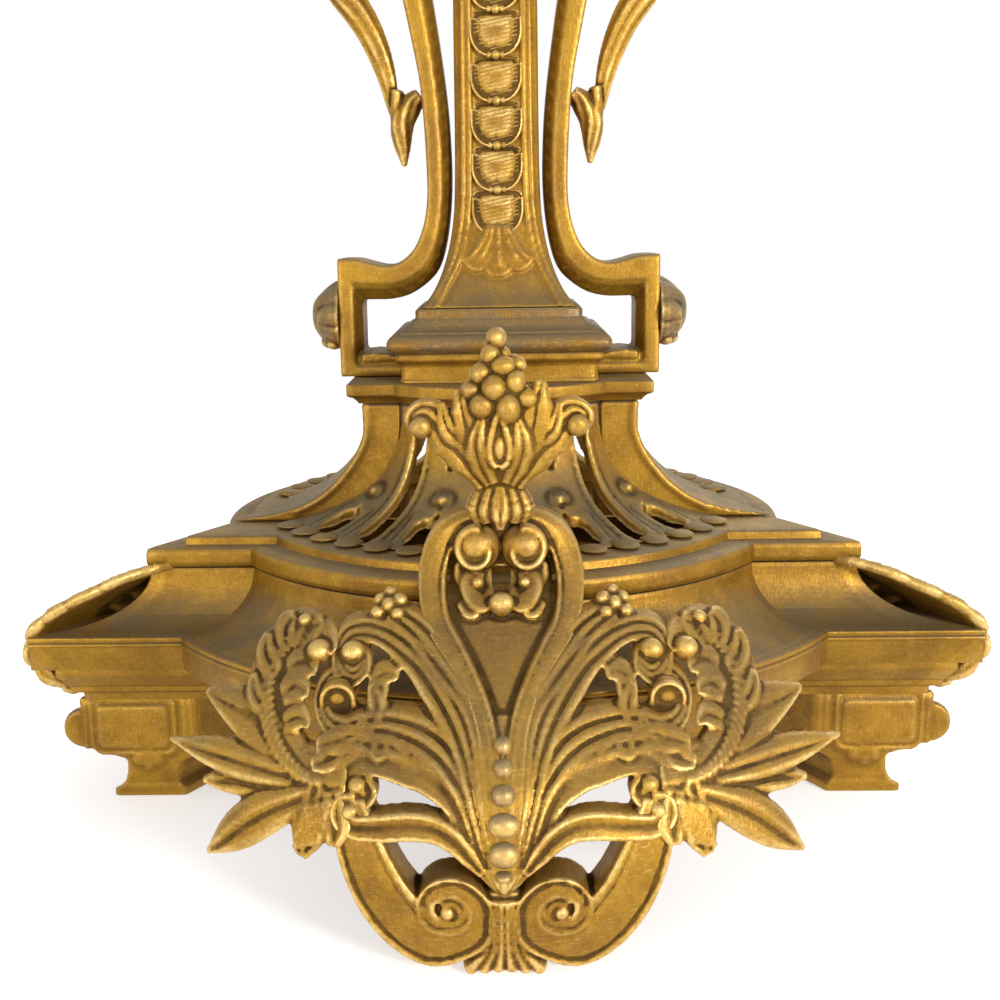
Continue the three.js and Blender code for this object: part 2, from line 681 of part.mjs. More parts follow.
const shaftUpper = () => bored(
  [[34, KNOP_TOP], [34, KNOP_TOP + 8], [27, KNOP_TOP + 14], [SHAFT_UPPER_RADIUS + 1, KNOP_TOP + 28],
    [SHAFT_UPPER_RADIUS + 2, 860], [SHAFT_UPPER_RADIUS - 2, SHAFT_UPPER_TOP - 26], [28, SHAFT_UPPER_TOP - 18],
    [28, SHAFT_UPPER_TOP - 12], [24, SHAFT_UPPER_TOP - 8], [24, SHAFT_UPPER_TOP - GAP]],
  SHAFT_BORE,
  16,
);

// The capital flares under the top, and its hollow head holds the upper nut.
const CAPITAL_FLOOR = CAPITAL_TOP - 30;
const capital = () => lathe(
  [[STACK_BORE, SHAFT_UPPER_TOP], [26, SHAFT_UPPER_TOP], [28, SHAFT_UPPER_TOP + 20], [36, SHAFT_UPPER_TOP + 44],
    [52, SHAFT_UPPER_TOP + 58], [CAPITAL_RADIUS, SHAFT_UPPER_TOP + 62], [CAPITAL_RADIUS, CAPITAL_TOP - GAP],
    [30, CAPITAL_TOP - GAP], [30, CAPITAL_FLOOR], [STACK_BORE, CAPITAL_FLOOR]],
  20,
);

const topPlate = () => lathe(
  [[TOP_DISC_RADIUS - 6, CAPITAL_TOP], [CAPITAL_RADIUS, CAPITAL_TOP],
    [CAPITAL_RADIUS + 4, TOTAL_HEIGHT - TOP_WALL], [TOP_RADIUS - TOP_RIM, TOTAL_HEIGHT - TOP_WALL],
    [TOP_RADIUS - TOP_RIM + 2, TOTAL_HEIGHT - 22], [TOP_RADIUS - 10, TOTAL_HEIGHT - 18],
    [TOP_RADIUS, TOTAL_HEIGHT - 12], [TOP_RADIUS, TOTAL_HEIGHT], [TOP_DISC_RADIUS + GAP, TOTAL_HEIGHT],
    [TOP_DISC_RADIUS + GAP, TOTAL_HEIGHT - TOP_DISC_HEIGHT - GAP],
    [TOP_DISC_RADIUS - 6, TOTAL_HEIGHT - TOP_DISC_HEIGHT - GAP]],
  32,
);

const topCapDisc = () => upright(TOP_DISC_RADIUS, 0, 0, TOTAL_HEIGHT - TOP_DISC_HEIGHT, TOTAL_HEIGHT, 32);

// ---------------------------------------------------------------- scroll brackets

// Points given by their X from the bracket's inner end.
const fromFoot = (points) => points.map(([x, z]) => [BRACKET_X + x, z]);

function bracketAxis(side, reach) {
  return [-1, 1].map((end) => new THREE.Vector3(side * VOLUTE.x, end * reach, VOLUTE.z));
}

function bracket(side) {
  const outer = smooth(
    [[BRACKET_FOOT_LENGTH, BRACKET_FOOT_TOP], [31.5, 350.8], [20.8, 347.9], [10, 345.7], [-1, 349.6], [-9.9, 359.1],
      [-15.6, 373.8], [-18.1, 390], [-18.2, 409], [-14.7, 465.8], [-9.2, 496], [-2.3, 530], [3.7, 562]],
    17,
  );
  const inner = smooth(
    [[16.7, 632], [2.7, 624], [-6.1, 606], [-11.3, 580], [-18.3, 548], [-24.3, 515.3], [-31.4, 461.7], [-33.9, 425],
      [-33.9, 394], [-30.9, 366], [-25.3, 345], [-17.3, 334.4], [-4.7, 326.1], [8.6, 323]],
    18,
  );
  const barX = BRACKET_FOOT_LENGTH - BRACKET_BAR;
  const barTop = CAP_TOP + 11.7;
  const outline = [
    [0, CAP_TOP], [BRACKET_FOOT_LENGTH, CAP_TOP], ...outer, [34.7, 566], [34.7, 632], ...inner,
    [barX, 323], [barX, barTop], [0, barTop],
  ];
  const volute = cylinder(VOLUTE.radius, ...bracketAxis(side, BRACKET_THICKNESS / 2), 22);
  return slab(fromFoot(outline), BRACKET_THICKNESS, side)
    .add(volute)
    .subtract(bracketScrew(side, SCREW_CLEARANCE));
}

// A domed shell on the outer face of the bracket's foot.
function bracketShell(side) {
  const profile = [[0, 0], [SHELL_RADIUS, 0], [SHELL_RADIUS - 1, 6], [SHELL_RADIUS - 8, 12], [14, 18],
    [6, SHELL_HEIGHT], [0, SHELL_HEIGHT]];
  const points = profile.map(([r, h]) => new THREE.Vector2(r, h));
  const dome = new THREE.LatheGeometry(points, 14).scale(1, 1, 0.8);
  dome.rotateZ((-side * Math.PI) / 2);
  return solid(dome.translate(side * (BRACKET_X + BRACKET_FOOT_LENGTH + GAP), 0, 312));
}

// A leaf drooping from the volute, with a small pointed leaf that reaches the bracket.
function pendantLeaf(side) {
  const droop = (path, widths, thickness) => {
    const curve = new THREE.SplineCurve(path.map(([x, z]) => new THREE.Vector2(x, z)));
    const steps = 6;
    const rings = [];
    for (let i = 0; i <= steps; i += 1) {
      const t = i / steps;
      const at = curve.getPoint(t);
      const along = curve.getTangent(t);
      const width = widths[Math.round(t * (widths.length - 1))] / 2;
      const depth = (thickness * (0.3 + 0.7 * Math.sin(Math.PI * Math.min(1, 0.5 + t * 0.5)))) / 2;
      const ring = [];
      for (let j = 0; j < 6; j += 1) {
        const angle = (2 * Math.PI * j) / 6;
        const reach = width * Math.cos(angle);
        ring.push(new THREE.Vector3(
          side * (at.x - along.y * reach),
          depth * Math.sin(angle),
          at.y + along.x * reach,
        ));
      }
      rings.push(ring);
    }
    return loft(rings);
  };
  const long = droop(
    fromFoot([[78, 618], [72, 588], [57, 556], [39, 530], [21, 503], [10, 475], [3.2, 449]]),
    [10, 22, 26, 25, 24, 22, 20, 17, 14, 9, 5],
    LEAF_THICKNESS,
  );
  const small = droop(
    fromFoot([[-12.8, 440], [-5.3, 442], [0.7, 434], [-0.7, 414]]),
    [16, 15, 13, 9, 3],
    LEAF_THICKNESS,
  );
  const link = droop(fromFoot([[1.7, 462], [2.2, 446], [0.7, 432]]), [8, 9, 8], LEAF_THICKNESS * 0.8);
  return long.add(small).add(link).subtract(bracketClearance(side));
}

// The bracket a running gap larger, for cutting what hangs on it.
function bracketClearance(side) {
  const face = smooth(
    [[-17.6, 400], [-16.9, 420], [-14.1, 465.8], [-8.6, 496], [-1.7, 530], [4.3, 562]],
    12,
  );
  const plain = slab(fromFoot([...face, [-35.3, 562], [-35.3, 400]]), BRACKET_THICKNESS + 2 * CUT, side);
  return plain.add(cylinder(VOLUTE.radius + GAP, ...bracketAxis(side, BRACKET_THICKNESS / 2 + CUT), 22));
}

// ---------------------------------------------------------------- front and back ornament

// Strands of the ornament, as paths in X and Z on the sheet.
const heartPath = [[7, 208], [20, 209.5], [33.5, 199], [39.5, 184], [38.8, 170], [34, 158.5], [26, 148.5],
  [17, 138], [9.5, 125], [6, 110]];
const strandPaths = {
  upper: [[-76, 153], [-64, 156], [-48, 151], [-33, 140], [-22, 127], [-14, 111], [-10, 96]],
  lower: [[-83, 121], [-70, 121.5], [-52, 120.5], [-38, 115.5], [-27, 107], [-19, 96], [-12, 84]],
  third: [[-73, 99], [-64, 105], [-50, 105], [-37, 102], [-26, 95], [-17, 84], [-11, 74]],
  fourth: [[-77, 86], [-64, 81.5], [-48, 82], [-36, 81], [-26, 76], [-16, 67], [-10, 60]],
};
const voluteEyes = { upper: [[-78, 146], 9], lower: [[-86, 130], 11], third: [[-70, 97], 8] };
const stemHalfWidths = [[123, 3], [112, 8], [96, 13], [80, 17.5], [66, 15.5], [54, 7], [47.5, 1]];

function stem(grow = 0) {
  const rings = stemHalfWidths.map(([z, halfWidth], i) => {
    const level = z + (i === 0 ? grow : 0) - (i === stemHalfWidths.length - 1 ? grow : 0);
    const half = halfWidth + grow;
    return [
      onSheet(-half, level, HEART_DEPTH + grow),
      onSheet(half, level, HEART_DEPTH + grow),
      onSheet(half * 0.7, level, -grow),
      onSheet(-half * 0.7, level, -grow),
    ];
  });
  return loft(rings);
}

function heartScroll(side, grow = 0) {
  return band(mirrored(heartPath, side), [14, 11], HEART_DEPTH, { steps: 10, grow })
    .add(button([side * 14.5, 195], 11, HEART_DEPTH, { grow }));
}

function heartMount() {
  const web = band([[-36, 165], [0, 166], [36, 165]], [8, 8], HEART_DEPTH * 0.5, { front: HEART_DEPTH * 0.4 });
  const lug = box(
    [-LUG_HALF_WIDTH, -(STEP.radius + LUG_REACH), LUG_Z[0]],
    [LUG_HALF_WIDTH, -(STEP.radius + GAP), LUG_Z[1]],
  );
  const bridge = box(
    [-BRIDGE.halfWidth, -(STEP.radius + BRIDGE.reach[1]), BRIDGE.z[0]],
    [BRIDGE.halfWidth, -(STEP.radius + BRIDGE.reach[0]), BRIDGE.z[1]],
  );
  return join([heartScroll(-1), heartScroll(1), stem(), web, lug, bridge])
    .subtract(mountScrew(SCREW_CLEARANCE))
    .subtract(scrollFoot(GAP))
    .subtract(footScrew(SCREW_CLEARANCE));
}

function strandSolids(side, grow = 0) {
  const paths = strandPaths;
  const strand = (name, widths, front) =>
    band(mirrored(paths[name], side), widths, STRAND_DEPTH, { grow, front, steps: 4 });
  const eye = (name, front) =>
    button([side * voluteEyes[name][0][0], voluteEyes[name][0][1]], voluteEyes[name][1], STRAND_DEPTH,
      { grow, front });
  return join([
    strand("upper", [15, 22], 2),
    strand("lower", [13, 14], 2),
    strand("third", [11, 14], 3),
    strand("fourth", [9, 14], 3),
    eye("upper", 0),
    eye("lower", 0),
    eye("third", 1),
    band(mirrored([[-79, 144], [-86, 128], [-80, 112], [-74, 98], [-78, 86]], side), [12, 12], STRAND_DEPTH,
      { grow, front: 4, steps: 4 }),
    button([side * -62, 164], 8, STRAND_DEPTH, { grow, front: 3 }),
  ]);
}

function sideScroll(side) {
  return strandSolids(side)
    .subtract(stem(GAP))
    .subtract(heartScroll(-1, GAP))
    .subtract(heartScroll(1, GAP))
    .subtract(scrollFoot(GAP))
    .subtract(box([-BAR_HALF_WIDTH - GAP, -400, 0], [BAR_HALF_WIDTH + GAP, -150, 300]));
}

const footArm = [[-76, 79], [-71, 62], [-63, 41], [-50, 24], [-32, 14], [-14, 13]];
const footVolute = { at: [-25, 38], radius: 18 };

function scrollFoot(grow = 0) {
  const parts = [-1, 1].flatMap((side) => [
    band(mirrored(footArm, -side), [SCROLL_FOOT_BAND - 5, SCROLL_FOOT_BAND], SCROLL_FOOT_DEPTH,
      { steps: 7, grow }),
    button([side * -footVolute.at[0], footVolute.at[1]], footVolute.radius, SCROLL_FOOT_DEPTH,
      { grow, segments: 14 }),
  ]);
  const fan = band([[0, 1], [0, 20], [0, 44]], [44, 22], SCROLL_FOOT_DEPTH, { steps: 4, front: 2, grow });
  const boss = box(
    [-BAR_HALF_WIDTH - grow, -BAR_END - BOSS_DEPTH - grow, 20],
    [BAR_HALF_WIDTH + grow, -BAR_END - GAP + grow, BAR_Z[1] + grow],
  );
  const floor = box([-200, -400, -60], [200, -200, 0]);
  const whole = join([...parts, fan, boss]).subtract(floor);
  return grow ? whole : whole.subtract(footScrew(SCREW_CLEARANCE));
}

const leafTips = [
  { tip: [-165, 119], root: [-106, 101], width: 17 },
  { tip: [-181, 101], root: [-106, 99], width: 22 },
  { tip: [-158, 83], root: [-104, 97], width: 16 },
  { tip: [-157, 53], root: [-102, 95], width: 20 },
  { tip: [-98, 63], root: [-99, 96], width: 22 },
];
const cLeafPath = [[-101, 152], [-119, 146], [-128, 131], [-124, 115], [-112, 104], [-98, 98]];

function leafSpray(side) {
  const leaves = leafTips.map(({ tip, root, width }) => {
    const middle = [(tip[0] + root[0]) / 2, (tip[1] + root[1]) / 2 + 2];
    return band(mirrored([root, middle, tip], side), [8, width, width * 0.8, 3], LEAF_DEPTH,
      { steps: 3, front: 6 });
  });
  const hub = band(mirrored([[-78, 97], [-92, 99], [-108, 101]], side), [15, 16], LEAF_DEPTH + 4,
    { front: 4, steps: 1 });
  const cLeaf = band(mirrored(cLeafPath, side), [16, 13], LEAF_DEPTH, { front: 5, steps: 5 });
  return join([...leaves, hub, cLeaf])
    .subtract(strandSolids(side, GAP))
    .subtract(scrollFoot(GAP));
}

function berryFinial() {
  const profile = [
    [0, FINIAL_BOTTOM], [17.5, FINIAL_BOTTOM + 5], [17, FINIAL_BOTTOM + 10], [11, 231], [14, 243], [25, 262],
    [41, 268], [41, 275], [24, 283], [21, 296], [13, 310], [0, 320],
  ];
  const body = new THREE.LatheGeometry(profile.map(([r, z]) => new THREE.Vector2(r, z)), 12);
  body.rotateX(Math.PI / 2);
  body.scale(1, FINIAL_SQUASH, 1);
  return solid(body.translate(0, -(STEP.radius + FINIAL_REACH), 0));
}

// ---------------------------------------------------------------- iron work

const tieRod = () => upright(ROD_RADIUS, 0, 0, ROD_BOTTOM, CAPITAL_FLOOR + WASHER_HEIGHT + NUT_HEIGHT + 8);

function washer(z) {
  return bored([[WASHER_RADIUS, z], [WASHER_RADIUS, z + WASHER_HEIGHT]], ROD_BORE, 16);
}

function nut(z) {
  return upright(NUT_RADIUS, 0, 0, z, z + NUT_HEIGHT, 6)
    .subtract(upright(ROD_BORE, 0, 0, z - CUT, z + NUT_HEIGHT + CUT));
}

function pannedScrew(from, to, clearance) {
  const axis = new THREE.Vector3().subVectors(to, from).normalize();
  const headEnd = from.clone().addScaledVector(axis, SCREW_HEAD_HEIGHT + clearance);
  const headStart = from.clone().addScaledVector(axis, clearance ? -CUT * 4 : 0);
  const shankEnd = to.clone().addScaledVector(axis, clearance);
  return cylinder(SCREW_HEAD_RADIUS + clearance, headStart, headEnd, 10)
    .add(cylinder(SCREW_RADIUS + clearance, from, shankEnd, 10));
}

// The screw that holds the heart's lug to the step: its head lies in the lug, seen only from the front.
const mountScrew = (clearance = 0) => pannedScrew(
  new THREE.Vector3(0, -(STEP.radius + LUG_REACH - 3), MOUNT_SCREW_Z),
  new THREE.Vector3(0, -(STEP.radius - 28), MOUNT_SCREW_Z),
  clearance,
);

// The screw that holds the scroll foot's boss to the end of the bar.
const footScrew = (clearance = 0) => pannedScrew(
  new THREE.Vector3(0, -BAR_END - BOSS_DEPTH + 0.5, (BAR_Z[0] + BAR_Z[1]) / 2),
  new THREE.Vector3(0, -BAR_END + 24, (BAR_Z[0] + BAR_Z[1]) / 2),
  clearance,
);

// The screw through the bracket's foot into the socle drum.
const bracketScrew = (side, clearance = 0) => pannedScrew(
  new THREE.Vector3(side * (BRACKET_X + BRACKET_FOOT_LENGTH - 14), 0, BRACKET_SCREW_Z),
  new THREE.Vector3(side * (DRUM_HALF - 22), 0, BRACKET_SCREW_Z),
  clearance,
);

// ---------------------------------------------------------------- materials and assembly

const gilt = (color, roughness) => new THREE.MeshStandardMaterial({ color, roughness, metalness: 0.75 });
const giltBody = gilt(0xa9762c, 0.42);
const giltOrnament = gilt(0xb9863c, 0.38);
const wornGilt = gilt(0x8a7450, 0.5);
const iron = new THREE.MeshStandardMaterial({ color: 0x4b4a47, roughness: 0.55, metalness: 0.9 });

const torchere = new THREE.Group();

function place(name, body, material, parent = torchere) {
  const mesh = new THREE.Mesh(geometryOf(body), material);
  mesh.name = name;
  parent.add(mesh);
  return mesh;
}

place("plinth", plinth(), giltBody);
place("plinth_neck", plinthNeck(), giltBody);
place("upper_step", upperStep(), giltBody);
place("bell_cap", bellCap(), giltBody);
place("socle_drum", socleDrum(), giltBody);
place("socle_moulding", socleMoulding(), wornGilt);
place("shaft_lower", shaftLower(), giltBody);
place("shaft_knop", shaftKnop(), giltOrnament);
place("shaft_upper", shaftUpper(), giltBody);
place("capital", capital(), giltOrnament);
place("top_plate", topPlate(), giltBody);
place("top_cap_disc", topCapDisc(), giltBody);

for (const [sideName, side] of [["left", -1], ["right", 1]]) {
  place(`rib_${sideName}`, rib(side), giltBody);
  place(`end_leaf_${sideName}`, endLeaf(side), giltOrnament);
  place(`bracket_${sideName}`, bracket(side), giltBody);
  place(`bracket_shell_${sideName}`, bracketShell(side), giltOrnament);
  place(`pendant_leaf_${sideName}`, pendantLeaf(side), giltOrnament);
  place(`bracket_screw_${sideName}`, bracketScrew(side), iron);
  place(`block_foot_front_${sideName}`, frontFoot(side), giltBody);
  place(`foot_stud_front_${sideName}`, footStud(side), iron);
  place(`block_foot_back_${sideName}`, backFoot(side), giltBody);
  place(`foot_stud_back_${sideName}`, backStud(side), iron);
}

for (const [depthName, turn] of [["front", 0], ["back", Math.PI]]) {
  const ornament = new THREE.Group();
  ornament.rotation.z = turn;
  torchere.add(ornament);
  const panel = turn
    ? piercedPanel(RIB_BACK, [...OPENINGS, ...SIDE_OPENINGS])
    : piercedPanel(RIB_FRONT, OPENINGS);
  place(`pierced_panel_${depthName}`, panel, giltBody, ornament);
  place(`scroll_foot_${depthName}`, scrollFoot(), giltOrnament, ornament);
  place(`heart_mount_${depthName}`, heartMount(), giltOrnament, ornament);
  place(`berry_finial_${depthName}`, berryFinial(), giltOrnament, ornament);
  place(`mount_screw_${depthName}`, mountScrew(), iron, ornament);
  place(`foot_screw_${depthName}`, footScrew(), iron, ornament);
  for (const [sideName, side] of [["left", 1], ["right", -1]]) {
    const seenFromFront = turn ? (sideName === "left" ? "right" : "left") : sideName;
    place(`side_scroll_${depthName}_${seenFromFront}`, sideScroll(side), giltOrnament, ornament);
    place(`leaf_spray_${depthName}_${seenFromFront}`, leafSpray(side), giltOrnament, ornament);
  }
}

place("spine_bar", spineBar()
  .subtract(upright(ROD_BORE, 0, 0, 0, FASCIA_BOTTOM))
  .subtract(footScrew(SCREW_CLEARANCE))
  .subtract(turnedHalf(footScrew(SCREW_CLEARANCE))), iron);
place("tie_rod", tieRod(), iron);
place("tie_washer_bottom", washer(BAR_Z[0] - GAP - WASHER_HEIGHT), iron);
place("tie_nut_bottom", nut(BAR_Z[0] - 2 * GAP - WASHER_HEIGHT - NUT_HEIGHT), iron);
place("tie_washer_top", washer(CAPITAL_FLOOR + GAP), iron);
place("tie_nut_top", nut(CAPITAL_FLOOR + 2 * GAP + WASHER_HEIGHT), iron);

export default torchere;
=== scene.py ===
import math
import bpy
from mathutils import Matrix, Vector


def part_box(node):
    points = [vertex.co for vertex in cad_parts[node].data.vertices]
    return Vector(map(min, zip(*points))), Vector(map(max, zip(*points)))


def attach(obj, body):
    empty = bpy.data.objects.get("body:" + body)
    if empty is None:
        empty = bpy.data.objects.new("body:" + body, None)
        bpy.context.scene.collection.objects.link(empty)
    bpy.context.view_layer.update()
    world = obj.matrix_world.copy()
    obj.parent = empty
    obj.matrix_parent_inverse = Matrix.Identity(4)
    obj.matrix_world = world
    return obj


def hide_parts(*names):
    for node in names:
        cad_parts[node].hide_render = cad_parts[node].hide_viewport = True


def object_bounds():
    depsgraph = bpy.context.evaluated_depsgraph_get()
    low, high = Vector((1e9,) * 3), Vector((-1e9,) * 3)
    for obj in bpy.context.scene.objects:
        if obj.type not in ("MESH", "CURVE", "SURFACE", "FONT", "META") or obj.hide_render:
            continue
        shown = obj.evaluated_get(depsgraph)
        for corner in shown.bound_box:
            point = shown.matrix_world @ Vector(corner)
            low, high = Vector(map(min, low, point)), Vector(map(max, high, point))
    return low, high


bl_info = {
    "name": "Gilt Torchere Builder",
    "version": (1, 0, 0),
    "blender": (4, 5, 0),
    "location": "3D View > Sidebar > Torchere",
    "description": "Builds the visible castings of a gilt torchere candle stand around its fixed frame",
    "category": "Object",
}

import bpy
import numpy as np
from bpy.props import FloatProperty, FloatVectorProperty, IntProperty, PointerProperty
from mathutils import Matrix, Vector

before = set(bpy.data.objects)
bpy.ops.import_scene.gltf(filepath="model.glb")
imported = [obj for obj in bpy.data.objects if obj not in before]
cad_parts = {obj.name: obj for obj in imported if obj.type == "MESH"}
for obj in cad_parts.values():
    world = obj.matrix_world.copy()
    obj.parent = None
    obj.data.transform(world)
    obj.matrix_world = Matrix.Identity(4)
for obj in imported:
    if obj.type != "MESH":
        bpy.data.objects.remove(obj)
CAD_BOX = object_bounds()
MM = 0.001
HALF_TURN = ((-1, -1, 1), False)  # turns a front piece round to the back
MIRROR_X = ((-1, 1, 1), True)  # mirrors a right piece to the left
FRONT = ((1, 1, 1), False)  # leaves a front piece where it is
BAND_RELIEF = 0.55  # how deep a band's moulding goes, as a share of its depth
FINIAL_VOXEL, SHAFT_VOXEL, FOOT_VOXEL, BRACKET_VOXEL = 0.0008, 0.0013, 0.0014, 0.00145  # metres
BUMP_DISTANCE = 0.0009
GILT_SPECULAR = 0.28
SURROUND_LEVEL = 0.55  # of the white world and floor as they light the object, against 1 as they are seen
PANEL_EDGE_FRONT, PANEL_EDGE_BACK = 60.3, 10.3  # how far each pierced panel stays from the ribs' middle
PETAL_RADIUS, PETAL_HEIGHT = 159.5, 179.0
CAMERA_LENS, CAMERA_SHIFT = 45.47, (0.0255, -0.0114)
CAMERA_TURN = (-1.4, 11.65, 0.96)  # yaw, pitch and roll in degrees
CAMERA_PLACE = (0.00257, -0.89128, 0.36986)


def cad(node):
    """A CAD node's lowest and highest corners in millimetres."""
    low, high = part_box(node)
    return np.array(low) / MM, np.array(high) / MM


# ------------------------------------------------------------------ sizes taken from the frame

END_SLANT = math.tan(math.radians(30))  # the wings' ends run inwards towards the round back
FASCIA = np.array([-cad("plinth")[0][1], cad("plinth")[1][0], 139.0])  # radius, half X, half Y of the plan
STEP = np.array([-cad("upper_step")[0][1], cad("upper_step")[1][0], 108.1])
RISER = np.array([176.0, 205.6, 99.0])
CAP = np.array([96.0, cad("bell_cap")[1][0], 66.0])
FASCIA_BOTTOM, SLOPE_TOP = cad("plinth")[0][2], cad("plinth")[1][2]
FASCIA_TOP = FASCIA_BOTTOM + 21.5
STEP_BOTTOM, RISER_TOP = cad("upper_step")[0][2], cad("upper_step")[1][2]
STEP_TOP = STEP_BOTTOM + 13.7
NECK_BOTTOM, NECK_TOP = cad("plinth_neck")[0][2], cad("plinth_neck")[1][2]
CAP_BOTTOM, CAP_TOP = cad("bell_cap")[0][2], cad("bell_cap")[1][2]
HEIGHT = CAD_BOX[1][2] / MM

# The ornament's curved sheet: its distance in front of the axis at each height, and its sweep back.
SHEET_HEIGHTS = [0, 35, 70, 100, 125, 145, 160, 175, 190, 215, 330]
SHEET_DISTANCES = [320, 328, 328, 316, 290, 262, 240, 222, 212, 206, 203]
SHEET_SWEEP = 500.0


# ------------------------------------------------------------------ the settings a user would change

class TorchereSizes(bpy.types.PropertyGroup):
    ornament_voxel: FloatProperty(
        name="Ornament grain", description="Size of the smallest carved detail on the ornament",
        default=0.0011, min=0.0005, unit="LENGTH")
    casting_voxel: FloatProperty(
        name="Casting grain", description="Size of the smallest detail on larger castings",
        default=0.0015, min=0.0005, unit="LENGTH")
    edge_radius: FloatProperty(
        name="Edge radius", description="Worn rounding of the moulded edges",
        default=0.0012, min=0.0002, unit="LENGTH")
    coin_pitch: FloatProperty(
        name="Coin pitch", description="Distance between the coins of the garland on the shaft",
        default=0.0285, min=0.01, unit="LENGTH")
    petal_pitch: FloatProperty(
        name="Petal pitch", description="Distance between the petals round the foot of the bell",
        default=0.0225, min=0.005, unit="LENGTH")
    flutes: IntProperty(
        name="Flutes", description="Flutes round the upper shaft", default=16, min=6)


class TorchereColours(bpy.types.PropertyGroup):
    gold: FloatVectorProperty(
        name="Gold", description="Matt gilding on upright faces", subtype="COLOR",
        default=(0.39, 0.205, 0.016), min=0, max=1)
    gold_deep: FloatVectorProperty(
        name="Deep gold", description="Browner gilding in patches", subtype="COLOR",
        default=(0.25, 0.118, 0.010), min=0, max=1)
    # This colour is rubbed gold on the raised edges and also a painted highlight there.
    bright: FloatVectorProperty(
        name="Burnish and highlight", description="Rubbed gold on the raised edges", subtype="COLOR",
        default=(0.86, 0.58, 0.19), min=0, max=1)
    # This colour is dark brown dirt in the hollows and also painted shade in creases and between strands.
    dirt_and_shade: FloatVectorProperty(
        name="Grime", description="Dark brown dirt in the hollows", subtype="COLOR",
        default=(0.020, 0.008, 0.002), min=0, max=1)
    dust: FloatVectorProperty(
        name="Dust", description="Grey olive dust on upward faces", subtype="COLOR",
        default=(0.20, 0.155, 0.082), min=0, max=1)
    worn: FloatVectorProperty(
        name="Worn", description="Rubbed grey brown metal", subtype="COLOR",
        default=(0.17, 0.115, 0.062), min=0, max=1)
    iron: FloatVectorProperty(
        name="Iron", description="Dark iron of the hidden clamp", subtype="COLOR",
        default=(0.06, 0.055, 0.05), min=0, max=1)


# ------------------------------------------------------------------ shapes as (points, faces) in millimetres

def spline(points, count):
    """A smooth curve through the points, with count points evenly along it."""
    p = np.asarray(points, float)
    ext = np.vstack([2 * p[0] - p[1], p, 2 * p[-1] - p[-2]])
    t = np.linspace(0, 1, 20, endpoint=False)[:, None]
    fine = []
    for i in range(len(p) - 1):
        a, b, c, d = ext[i:i + 4]
        fine.append(0.5 * (2 * b + (c - a) * t + (2 * a - 5 * b + 4 * c - d) * t ** 2
                           + (3 * b - a - 3 * c + d) * t ** 3))
    return evenly(np.vstack(fine + [p[-1:]]), count)


def evenly(points, count):
    """The same open line with count points evenly along it."""
    p = np.asarray(points, float)
    at = np.r_[0, np.cumsum(np.linalg.norm(np.diff(p, axis=0), axis=1))]
    place = np.linspace(0, at[-1], count)
    return np.column_stack([np.interp(place, at, p[:, k]) for k in range(p.shape[1])])


def filleted(points, radius, steps=3, closed=True):
    """A line of corners with each corner rounded by about the radius."""
    p = np.asarray(points, float)
    out = []
    for i in range(len(p)):
        if not closed and i in (0, len(p) - 1):
            out.append(p[i])
            continue
        before, here, after = p[i - 1], p[i], p[(i + 1) % len(p)]
        a, b = before - here, after - here
        la, lb = np.linalg.norm(a), np.linalg.norm(b)
        reach = min(radius, 0.45 * la, 0.45 * lb)
        start, end = here + a / la * reach, here + b / lb * reach
        for t in np.linspace(0, 1, steps + 1):
            out.append((1 - t) ** 2 * start + 2 * t * (1 - t) * here + t ** 2 * end)
    return np.array(out)


def loft(rings, cap=True, endless=False):
    """A surface through rings of equally many points, closed by caps or joined end to start.

    The caps are fans from their middle; "flat" makes each a single face, which may be concave.
    """
    rings = np.asarray(rings, float)
    m, n = rings.shape[:2]
    points = rings.reshape(-1, 3)
    i = np.arange(m if endless else m - 1)[:, None]
    j = np.arange(n)[None, :]
    lower, upper = i * n, ((i + 1) % m) * n
    nxt = (j + 1) % n
    faces = np.stack([lower + j, lower + nxt, upper + nxt, upper + j], axis=-1).reshape(-1, 4).tolist()
    if cap == "flat":
        faces += [list(range(n))[::-1], list(range((m - 1) * n, m * n))]
    elif cap and not endless:
        points = np.vstack([points, rings[0].mean(axis=0), rings[-1].mean(axis=0)])
        for start, centre, turned in ((0, m * n, True), ((m - 1) * n, m * n + 1, False)):
            for k in range(n):
                pair = [start + (k + 1) % n, start + k] if turned else [start + k, start + (k + 1) % n]
                faces.append(pair + [centre])
    return points, faces


def joined(shapes):
    """Several closed shapes as one, each with its faces turned outwards."""
    points, faces, base = [], [], 0
    for p, f in map(outward, shapes):
        points.append(p)
        faces.extend([[k + base for k in face] for face in f])
        base += len(p)
    return np.vstack(points), faces


def placed(shape, copy):
    """A shape scaled by the copy's signs, with its faces turned where that mirrors it."""
    signs, mirror = copy
    points, faces = shape
    return points * np.array(signs), [face[::-1] for face in faces] if mirror else faces


def all_placed(shapes, copy):
    """The copies of several shapes."""
    return [placed(shape, copy) for shape in shapes]


def turned(profile, segments=96):
    """A surface of revolution about Z whose profile, of radius and height, closes on itself."""
    p = np.asarray(profile, float)
    angles = np.arange(segments) * 2 * math.pi / segments
    rings = [np.column_stack([p[:, 0] * math.cos(a), p[:, 0] * math.sin(a), p[:, 1]]) for a in angles]
    return loft(rings, endless=True)


def ball(centre, radii, segments=14, rows=9):
    """An ellipsoid."""
    rings = []
    for lat in np.linspace(-math.pi / 2, math.pi / 2, rows + 2)[1:-1]:
        a = np.arange(segments) * 2 * math.pi / segments
        rings.append(np.column_stack([np.cos(lat) * np.cos(a), np.cos(lat) * np.sin(a),
                                      np.full(segments, np.sin(lat))]))
    points, faces = loft(rings)
    return points * np.array(radii) + np.array(centre), faces


